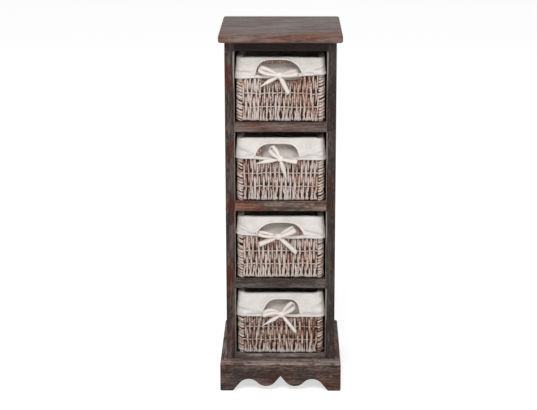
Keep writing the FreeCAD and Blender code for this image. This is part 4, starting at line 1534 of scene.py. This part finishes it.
@dataclass
class Bow:
    """Cotton tape tied in a bow: a knot, two loops, two tails and the tape from the notch's ends."""

    number: int
    shape: BowShape
    notch: Notch
    liner_top: float
    face: float
    tape: bpy.types.Material
    half_thick: float = 0.6
    lift: float = 4.2
    face_tilt: float = 0.6
    cuff_half: float = 90.8
    drawn_half: float = 4.2
    drawn_gap: float = 0.4
    drawn_rise: float = 3.4
    drawn_sag: Place = (0.0, -0.8, -1.2)
    drawn_end: Place = (0.0, 1.6, 0.0)
    tail_gap: float = 1.4
    tail_out: float = 2.4
    tail_hump: float = 2.6
    knot_halves: Place = (6.8, 4.0, 6.2)
    surface: Surface = field(default_factory=Surface)
    length: float = 0.0

    def __post_init__(self) -> None:
        """Places the knot before the middle of the hem."""
        across, up = self.shape.knot
        self.knot = np.array([across, self.face - self.lift, self.liner_top - HEM_DROP + up])

    def ribbon(self, path: np.ndarray, across: np.ndarray, wide: np.ndarray, slant: float = 0.0,
               camber: float = -2.0) -> None:
        """Adds a length of tape along a path, its far end cut at a slant.

        Args:
            path: centre line, rings by 3.
            across: direction of the tape's width, spread over the rings.
            wide: half width, spread over the rings.
            slant: how far the far end's edges run ahead and behind, in half widths.
            camber: bend across the tape, in half thicknesses.
        """
        ring = oval(14, 0.62, camber)
        spread = np.broadcast_to(wide, len(path))[:, None]
        points, faces = sweep(path[None], across, spread, self.half_thick, ring)
        along = unit(path[-1] - path[-2])
        points[0, -1] += along * (slant * spread[-1] * ring[:, :1])
        way = way_along(path)
        uv = np.stack(np.broadcast_arrays(ring[:, 0] * TAPE_HALF, (way + self.length)[:, None]), -1)
        self.surface.add(points, faces, uv=uv)
        self.length += way[-1]

    def loop(self, shape: Loop, turn: int) -> None:
        """Adds one loop: a drop-shaped half of a figure of eight in a plane tilted out of the cuff's.

        With t from 0 to 1 the tape runs L sin(pi t) towards the tip and W sin(2 pi t) aside, and its
        middle rises by 4 A s (1 - s), where s is sin(pi t). The loop stands forward in step with s. Its
        width lies across the loop's line and stands out a little, so that its face shows, and turns
        square to the loop's plane at the tip.

        Args:
            shape: the loop's sizes.
            turn: 1 or -1, the side on which the upper run lies.
        """
        reach = math.hypot(shape.across, shape.up)
        along = np.array([shape.across, 0.0, shape.up]) / reach
        square = np.array([-shape.up, 0.0, shape.across]) / reach * turn
        angle = math.radians(shape.tilt)
        aside = math.cos(angle) * square + math.sin(angle) * FORWARD
        share = np.linspace(0.02, 0.98, 34)[:, None]
        out = np.sin(np.pi * share)
        path = self.knot + along * reach * out + FORWARD * (math.sin(angle) * shape.half_open * out * 0.8)
        path = path + aside * shape.half_open * np.sin(2 * np.pi * share)
        path[:, 2:] += 4 * shape.arch * out * (1 - out)
        pinch = shape.half_wide * (0.58 + 0.42 * out[:, 0] ** 0.6)
        flat = math.cos(self.face_tilt) * square + math.sin(self.face_tilt) * FORWARD
        upright = np.cross(along, aside)
        tip = bell(share, 0.5, 0.11)
        self.ribbon(path, flat * (1 - tip) + upright * math.copysign(1.0, upright @ flat) * tip, pinch)

    def tail(self, shape: Tail, slant: float, twist: float) -> None:
        """Adds one tail: a sagging run from under the knot down to the basket's face.

        The run is a quadratic curve from the knot to its end, and the tape turns with the sine of the way.

        Args:
            shape: the tail's sizes.
            slant: slant of the cut, as for a ribbon.
            twist: turn of the tape along the tail, in degrees.
        """
        stop = np.array([self.knot[0] + shape.across, self.face - self.tail_gap, self.knot[2] + shape.up])
        bend = self.knot + np.array([shape.across * 0.42, -self.tail_out, shape.up * 0.42 + self.tail_hump])
        share = np.linspace(0, 1, 16)[:, None]
        path = self.knot * (1 - share) ** 2 + bend * 2 * share * (1 - share) + stop * share ** 2
        flat = unit(np.array([-shape.up, 0.0, shape.across]))
        angle = np.radians(twist) * np.sin(np.pi * share * 0.8)
        taper = 1 - (1 - shape.end_share) * smooth(share[:, 0], 0.5, 1.0)
        pinch = shape.half_wide * (0.55 + 0.45 * smooth(share[:, 0], 0.0, 0.4)) * taper
        self.ribbon(path, flat * np.cos(angle) + FORWARD * np.sin(angle), pinch, slant)

    def drawn(self, side: int) -> None:
        """Adds the tape that comes out of the hem at one end of the notch and runs, sagging, to the knot.

        The run is a straight line plus the sag times sin(pi t), and it narrows in the same way.

        Args:
            side: -1 for the left end, 1 for the right.
        """
        place = self.notch.middle + side * (self.notch.half_wide + 1.0)
        hem = self.notch.hem((place / self.cuff_half + 1) / 2)
        start = np.array([place, self.face - self.drawn_gap, self.liner_top - hem + self.drawn_rise])
        way = np.linspace(0, 1, 14)[:, None]
        sag = np.array(self.drawn_sag) * np.sin(np.pi * way)
        path = start + (self.knot + self.drawn_end - start) * way + sag
        pinch = self.drawn_half - 0.6 * np.sin(np.pi * way[:, 0])
        self.ribbon(path, np.array([0.0, -0.25, 1.0]), pinch, 0.0, -0.8)

    def tie(self) -> None:
        """Adds the knot: an ellipsoid with full corners, creased along and round by cosine waves.

        With a round the knot and b up it, a point is the half sizes times (cos a cos b, sin a cos b,
        sin b), each raised to a power under 1 with its sign kept, times 1 plus two small cosine waves.
        """
        rows, columns = 17, 29
        up = np.linspace(-np.pi / 2, np.pi / 2, rows)[:, None]
        around = np.linspace(0, 2 * np.pi, columns)[None]
        crease = 1 + 0.05 * np.cos(3 * around + 2 * up) + 0.05 * np.cos(5 * up + 1.0)
        level = np.cos(up) ** 0.75
        wide, deep, high = self.knot_halves
        x = wide * level * powered(np.cos(around), 0.8) * crease
        y = deep * level * powered(np.sin(around), 0.8) * crease
        z = high * powered(np.sin(up), 0.8) * crease
        points = self.knot + np.stack(np.broadcast_arrays(x, y, z), -1)
        uv = np.stack(np.broadcast_arrays(np.cos(around) * 3.0, up * 5.0), -1)
        self.surface.add(points, [grid_faces(rows, columns)], uv=uv)

    def build(self) -> bpy.types.Object:
        """Builds the tape.

        Returns:
            The tape, all of it one piece.
        """
        self.drawn(-1)
        self.drawn(1)
        self.loop(self.shape.left_loop, 1)
        self.loop(self.shape.right_loop, -1)
        self.tail(self.shape.left_tail, 0.35, 25.0)
        self.tail(self.shape.right_tail, -0.3, -20.0)
        self.tie()
        return self.surface.piece(f"basket_{self.number}_tie", self.tape, 0.005)


@dataclass
class Basket:
    """One basket: its woven box, its wire frame, its liner and its bow, all on its own body."""

    number: int
    notch: Notch
    bow: BowShape
    finish: WickerFibre
    strand_pitch: float
    hole_bottom: float
    corner_drop: float
    corner_radius: float = 14.0

    def __post_init__(self) -> None:
        """Reads the basket's place from the frame."""
        low, high = (np.asarray(corner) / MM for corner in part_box(f"basket_{self.number}_wicker"))
        radius = self.corner_radius
        self.outline = Outline(high[0] - radius, low[1] + radius, high[1] - radius, radius)
        self.base, self.rim = low[2], high[2]
        cuff_low, cuff_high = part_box(f"basket_{self.number}_liner")
        self.face = cuff_low[1] / MM
        self.liner_top = cuff_high[2] / MM

    def build(self, cotton: bpy.types.Material, tape: bpy.types.Material, wire: bpy.types.Material) -> None:
        """Args:
            cotton: finish of the liner.
            tape: finish of the bow.
            wire: finish of the wire frame.
        """
        body = f"basket_{self.number}"
        weave = WickerBox(self.number, self.outline, self.base, self.rim, self.finish, self.strand_pitch,
                          self.hole_bottom).build()
        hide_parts(f"{body}_wicker")
        liner, edge = Liner(self.number, self.outline, self.base, self.liner_top, self.notch, cotton, tape,
                            self.corner_drop).build()
        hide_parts(f"{body}_liner")
        knotted = Bow(self.number, self.bow, self.notch, self.liner_top, self.face, tape)
        tie = knotted.build()
        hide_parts(f"{body}_bow")
        for piece in (weave, liner, edge, tie):
            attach(piece, body)
        dress(f"{body}_wire_frame", wire)


@dataclass
class Cabinet:
    """The wooden body: its boards with their own grain and stain, a painted shadow on the rail under the top,
    painted light on upper faces and on the front posts' inner edges, its bare blocks and its fasteners.
    """

    top: RGB = (116, 104, 99)
    top_front: RGB = (112, 80, 69)
    top_edge: RGB = (132, 84, 64)
    post: RGB = (76, 60, 54)
    right_post: RGB = (63, 51, 47)
    bottom_rail: RGB = (92, 76, 70)
    panel: RGB = (74, 62, 57)
    apron: RGB = (84, 66, 58)
    # paler colour of the ledge and the upper faces, which also paints the light falling from above on them
    pale_and_lit_ledge: RGB = (138, 121, 115)
    shade: RGB = (56, 46, 41)
    # painted shadow: the rail under the top's overhang is darkened for the shadow that falls on it
    shadowed_top_rail: RGB = (37, 28, 26)
    rails: Tuple[RGB, ...] = ((109, 86, 79), (119, 93, 80), (92, 80, 75))
    rail_reds: Tuple[float, ...] = (0.6, 0.5, 0.25)
    rail_contrasts: Tuple[float, ...] = (0.6, 2.1, 2.4)
    # height over which light falling into an opening is painted on a front post's inner edge
    lit_length: float = 0.085
    knot_height: float = 0.612

    def level_boards(self) -> Dict[str, WeatheredWood]:
        """Finishes of the boards and rails that lie across or from front to back.

        Returns:
            Finishes by the node's name.
        """
        across, inwards = Grain.ALONG_X, Grain.ALONG_Y
        found = {
            "top_board": WeatheredWood(self.top, across, 3, wash=0.5, red=0.3, edge=self.top_edge, worn=0.35,
                                       front=self.top_front, front_reach=0.075, contrast=0.45),
            "plinth_board": WeatheredWood(self.pale_and_lit_ledge, across, 5, wash=0.5, red=0.2),
            "front_apron": WeatheredWood(self.apron, across, 7, wash=0.3, red=0.3, worn=0.3,
                                         crown=self.pale_and_lit_ledge, contrast=2.6),
            "rear_apron": WeatheredWood(self.apron, across, 8, wash=0.3, crown=self.pale_and_lit_ledge, contrast=1.5),
            "top_front_rail": WeatheredWood(self.shadowed_top_rail, across, 11),
            "top_rear_rail": WeatheredWood(self.shade, across, 12),
            "bottom_rail": WeatheredWood(self.bottom_rail, across, 13, red=0.2, crown=self.pale_and_lit_ledge),
        }
        for seed, side in ((9, "left"), (10, "right")):
            found[f"{side}_apron"] = WeatheredWood(self.apron, inwards, seed, wash=0.35, crown=self.pale_and_lit_ledge,
                                                   contrast=1.5)
        for number in BASKETS:
            found[f"shelf_{number}"] = WeatheredWood(self.shade, across, 50 + number, wash=0.3)
        rails = zip(self.rails, self.rail_reds, self.rail_contrasts)
        for number, (body, red, contrast) in enumerate(rails, 1):
            found[f"shelf_rail_{number}"] = WeatheredWood(body, across, 60 + number, wash=0.4, red=red,
                                                          worn=0.2, contrast=contrast)
        return found

    def upright_boards(self) -> Dict[str, WeatheredWood]:
        """Finishes of the posts, side panels and back planks, bare inside the cabinet.

        Returns:
            Finishes by the node's name.
        """
        upright = Grain.ALONG_Z
        bare_at = min(abs(corner[0]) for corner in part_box("left_side_panel"))
        rails = ("top_front_rail", "shelf_rail_1", "shelf_rail_2", "shelf_rail_3")
        tops = [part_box(name)[0][2] for name in rails]
        # spans of painted light at the top of each opening, below each rail
        spans = tuple((top - self.lit_length, top) for top in tops)
        found = {
            "front_left_post": WeatheredWood(self.post, upright, 20, wash=0.5, red=0.9, pale_within=bare_at,
                                             lit_spans=spans[:1], contrast=2.6),
            "front_right_post": WeatheredWood(self.right_post, upright, 21, wash=0.5, red=0.5,
                                              pale_within=bare_at, lit_spans=spans,
                                              knot=self.knot_height, contrast=2.8),
        }
        for index, side in enumerate(("left", "right")):
            found[f"rear_{side}_post"] = WeatheredWood(self.post, upright, 22 + index, wash=0.5, red=0.55,
                                                       pale_within=bare_at)
            found[f"{side}_side_panel"] = WeatheredWood(self.panel, upright, 30 + index,
                                                        pale_within=bare_at)
        for number in range(1, 7):
            found[f"back_plank_{number}"] = WeatheredWood(self.shade, upright, 40 + number, wash=0.35)
        return found

    def build(self) -> None:
        """Dresses every node of the cabinet."""
        for node, finish in {**self.level_boards(), **self.upright_boards()}.items():
            dress(node, finish.material(node))
        bare = {"glue_blocks": Grain.ALONG_Z, "rail_dowels": Grain.ALONG_X, "apron_dowels": Grain.ALONG_Y}
        for side in ("left", "right"):
            bare.update({f"{side}_cleat_{number}": Grain.ALONG_Y for number in (1, 2, 3)})
        for seed, (node, grain) in enumerate(bare.items()):
            dress(node, BareWood(grain, seed).material(node))
        steel = Steel().material()
        for node in ("top_screws", "post_screws", "cleat_pins", "back_nails"):
            dress(node, steel)


@dataclass(frozen=True)
class Lamp:
    """Square soft light: its place and side in metres and its power in watts."""

    name: str
    place: Place
    size: float
    power: float


@dataclass
class Studio:
    """Pale floor, soft lights and the camera."""

    camera_place: Place = (0.0220, -3.2040, 1.2166)
    pitch_down: float = 14.38
    turn: float = 0.42
    lens: float = 103.8
    shift: Tuple[float, float] = (-0.0218, -0.0223)
    view_end: float = 200.0
    floor_half: float = 40.0
    floor_grey: float = 0.86
    white_share: float = 0.62
    sky: float = 0.38
    middle: Place = (0.0, 0.0, 0.4)
    lamps: Tuple[Lamp, ...] = (Lamp("key_light", (-0.7, -2.5, 3.2), 1.8, 74.0),
                               Lamp("fill_light", (2.2, -2.6, 1.4), 1.6, 22.0))

    def seen_directly(self, graph: Graph) -> Signal:
        """Rays that show the backdrop itself.

        Args:
            graph: the floor's or the world's graph.

        Returns:
            1 for rays from the camera and through gloss and glass, otherwise 0.
        """
        path = graph.node("ShaderNodeLightPath", {}, {}, "Is Camera Ray").socket.node
        kinds = ("Camera", "Glossy", "Transmission")
        rays = [Signal(graph, path.outputs[f"Is {kind} Ray"]) for kind in kinds]
        return graph.math("MINIMUM", rays[0] + rays[1] + rays[2], 1.0)

    def floor(self) -> None:
        """Lays a wide pale floor that looks nearly white and keeps the shadow."""
        side = self.floor_half
        corners = [(-side, -side, 0), (side, -side, 0), (side, side, 0), (-side, side, 0)]
        mesh = bpy.data.meshes.new("studio_floor")
        mesh.from_pydata(corners, [], [(0, 1, 2, 3)])
        graph = new_graph("studio_floor")
        matt = graph.node("ShaderNodeBsdfDiffuse", {}, {"Color": (*[self.floor_grey] * 3, 1.0)})
        strength = self.seen_directly(graph) * self.white_share
        glow = graph.node("ShaderNodeEmission", {}, {"Color": FULL_WHITE, "Strength": strength})
        both = graph.node("ShaderNodeAddShader", {}, {0: matt, 1: glow})
        graph.node("ShaderNodeOutputMaterial", {}, {"Surface": both})
        mesh.materials.append(graph.owner)
        made = placed("studio_floor", mesh)

    def world(self) -> None:
        """Sets a white backdrop that lights the object with soft grey."""
        made = bpy.data.worlds.new("studio_sky")
        bpy.context.scene.world = made
        graph = Graph(made)
        white, grey = (graph.node("ShaderNodeBackground", {}, {"Color": FULL_WHITE, "Strength": strength})
                       for strength in (1.0, self.sky))
        both = graph.node("ShaderNodeMixShader", {}, {0: self.seen_directly(graph), 1: grey, 2: white})
        graph.node("ShaderNodeOutputWorld", {}, {"Surface": both})

    def hang(self, lamp: Lamp) -> None:
        """Hangs a lamp that faces the middle of the object.

        Args:
            lamp: its place, size and power.
        """
        light = bpy.data.lights.new(lamp.name, "AREA")
        light.size = lamp.size
        light.energy = lamp.power
        made = placed(lamp.name, light)
        made.location = lamp.place
        aim = Vector(self.middle) - Vector(lamp.place)
        made.rotation_euler = aim.to_track_quat("-Z", "Y").to_euler()

    def camera(self) -> None:
        """Sets up the camera at the viewing angle of the photograph."""
        data = bpy.data.cameras.new("view")
        data.lens = self.lens
        data.shift_x, data.shift_y = self.shift
        data.clip_end = self.view_end
        made = placed("view", data)
        made.location = self.camera_place
        made.rotation_euler = (math.radians(90 - self.pitch_down), 0.0, math.radians(self.turn))
        bpy.context.scene.camera = made

    def build(self) -> None:
        """Builds the studio."""
        bpy.context.scene.view_settings.view_transform = "Standard"
        self.floor()
        self.world()
        for lamp in self.lamps:
            self.hang(lamp)
        self.camera()


PINK_STRAW: Stops = ((0.0, (98, 68, 56)), (0.35, (176, 134, 116)), (0.62, (218, 188, 174)),
                     (1.0, (248, 232, 222)))
BROWN_STRAW: Stops = ((0.0, (62, 40, 30)), (0.35, (124, 84, 64)), (0.62, (158, 119, 99)),
                      (1.0, (228, 208, 196)))


def baskets() -> List[Basket]:
    """The four baskets, from the top down, with their own cuffs and bows.

    Returns:
        The baskets, not yet built.
    """
    return [
        Basket(1, Notch(-4, 47.5, 4.0, 42.8, 34.5, 4.4, 3.2),
               BowShape((-2.6, 9.0), Loop(-41, 14, 4.7, 5.6, 46), Loop(37, 7, 5.0, 5.6, 60),
                        Tail(-39, -24, 4.8, 0.25), Tail(19, -38, 5.0, 0.95)),
               WickerFibre(1, PINK_STRAW, warmth=0.55, brown_side=1.0),
               strand_pitch=4.4, hole_bottom=45.0, corner_drop=1.2),
        Basket(2, Notch(-7, 45, 11.0, 41.5, 45, 4.0, 4.8),
               BowShape((-0.5, 2.8), Loop(-20, 24, 5.4, 5.2, 30), Loop(35, -4, 5.2, 4.0, 80),
                        Tail(-51, -11, 4.8, 0.25), Tail(13, -45, 5.2, 0.2)),
               WickerFibre(2, PINK_STRAW), strand_pitch=4.6, hole_bottom=42.0, corner_drop=1.2),
        Basket(3, Notch(0, 49, 11.5, 37.5, 46, 3.2, 3.4),
               BowShape((-5.0, 4.0), Loop(-41, 8, 3.8, 4.2, 48), Loop(34, 18, 6.0, 5.0, 56),
                        Tail(-39.5, -17.5, 5.6, 1.0), Tail(38.5, -36, 4.8, 1.0)),
               WickerFibre(3, PINK_STRAW), strand_pitch=4.85, hole_bottom=40.0, corner_drop=1.0),
        Basket(4, Notch(1.4, 39, 11.5, 48, 50, 3.6, 5.0),
               BowShape((1.4, 0.6), Loop(-39, 0, 4.4, 4.6, 55, 7.0), Loop(27, 24, 4.8, 6.0, 24),
                        Tail(-38, -25, 4.9, 0.25), Tail(31, -40, 3.8, 1.0)),
               WickerFibre(4, BROWN_STRAW, white=0.25, warmth=0.7, brown_side=0.5, tips=0.75),
               strand_pitch=4.7, hole_bottom=46.0, corner_drop=-3.2),
    ]


def main() -> None:
    """Builds the cabinet's finishes, the baskets and the studio in order."""
    logging.basicConfig(level=logging.INFO, format="%(message)s")
    Cabinet().build()
    cotton = PlainCotton("liner_cotton", (236, 232, 227), (213, 207, 201), inside=0.060).material()
    tape = PlainCotton("tape_cotton", (245, 238, 232), (229, 220, 212), crease=0.0006,
                       fold=TAPE_HALF * MM).material()
    wire = WrappedWire().material()
    for basket in baskets():
        basket.build(cotton, tape, wire)
    Studio().build()
    bpy.context.view_layer.update()


if __name__ == "__main__":
    main()
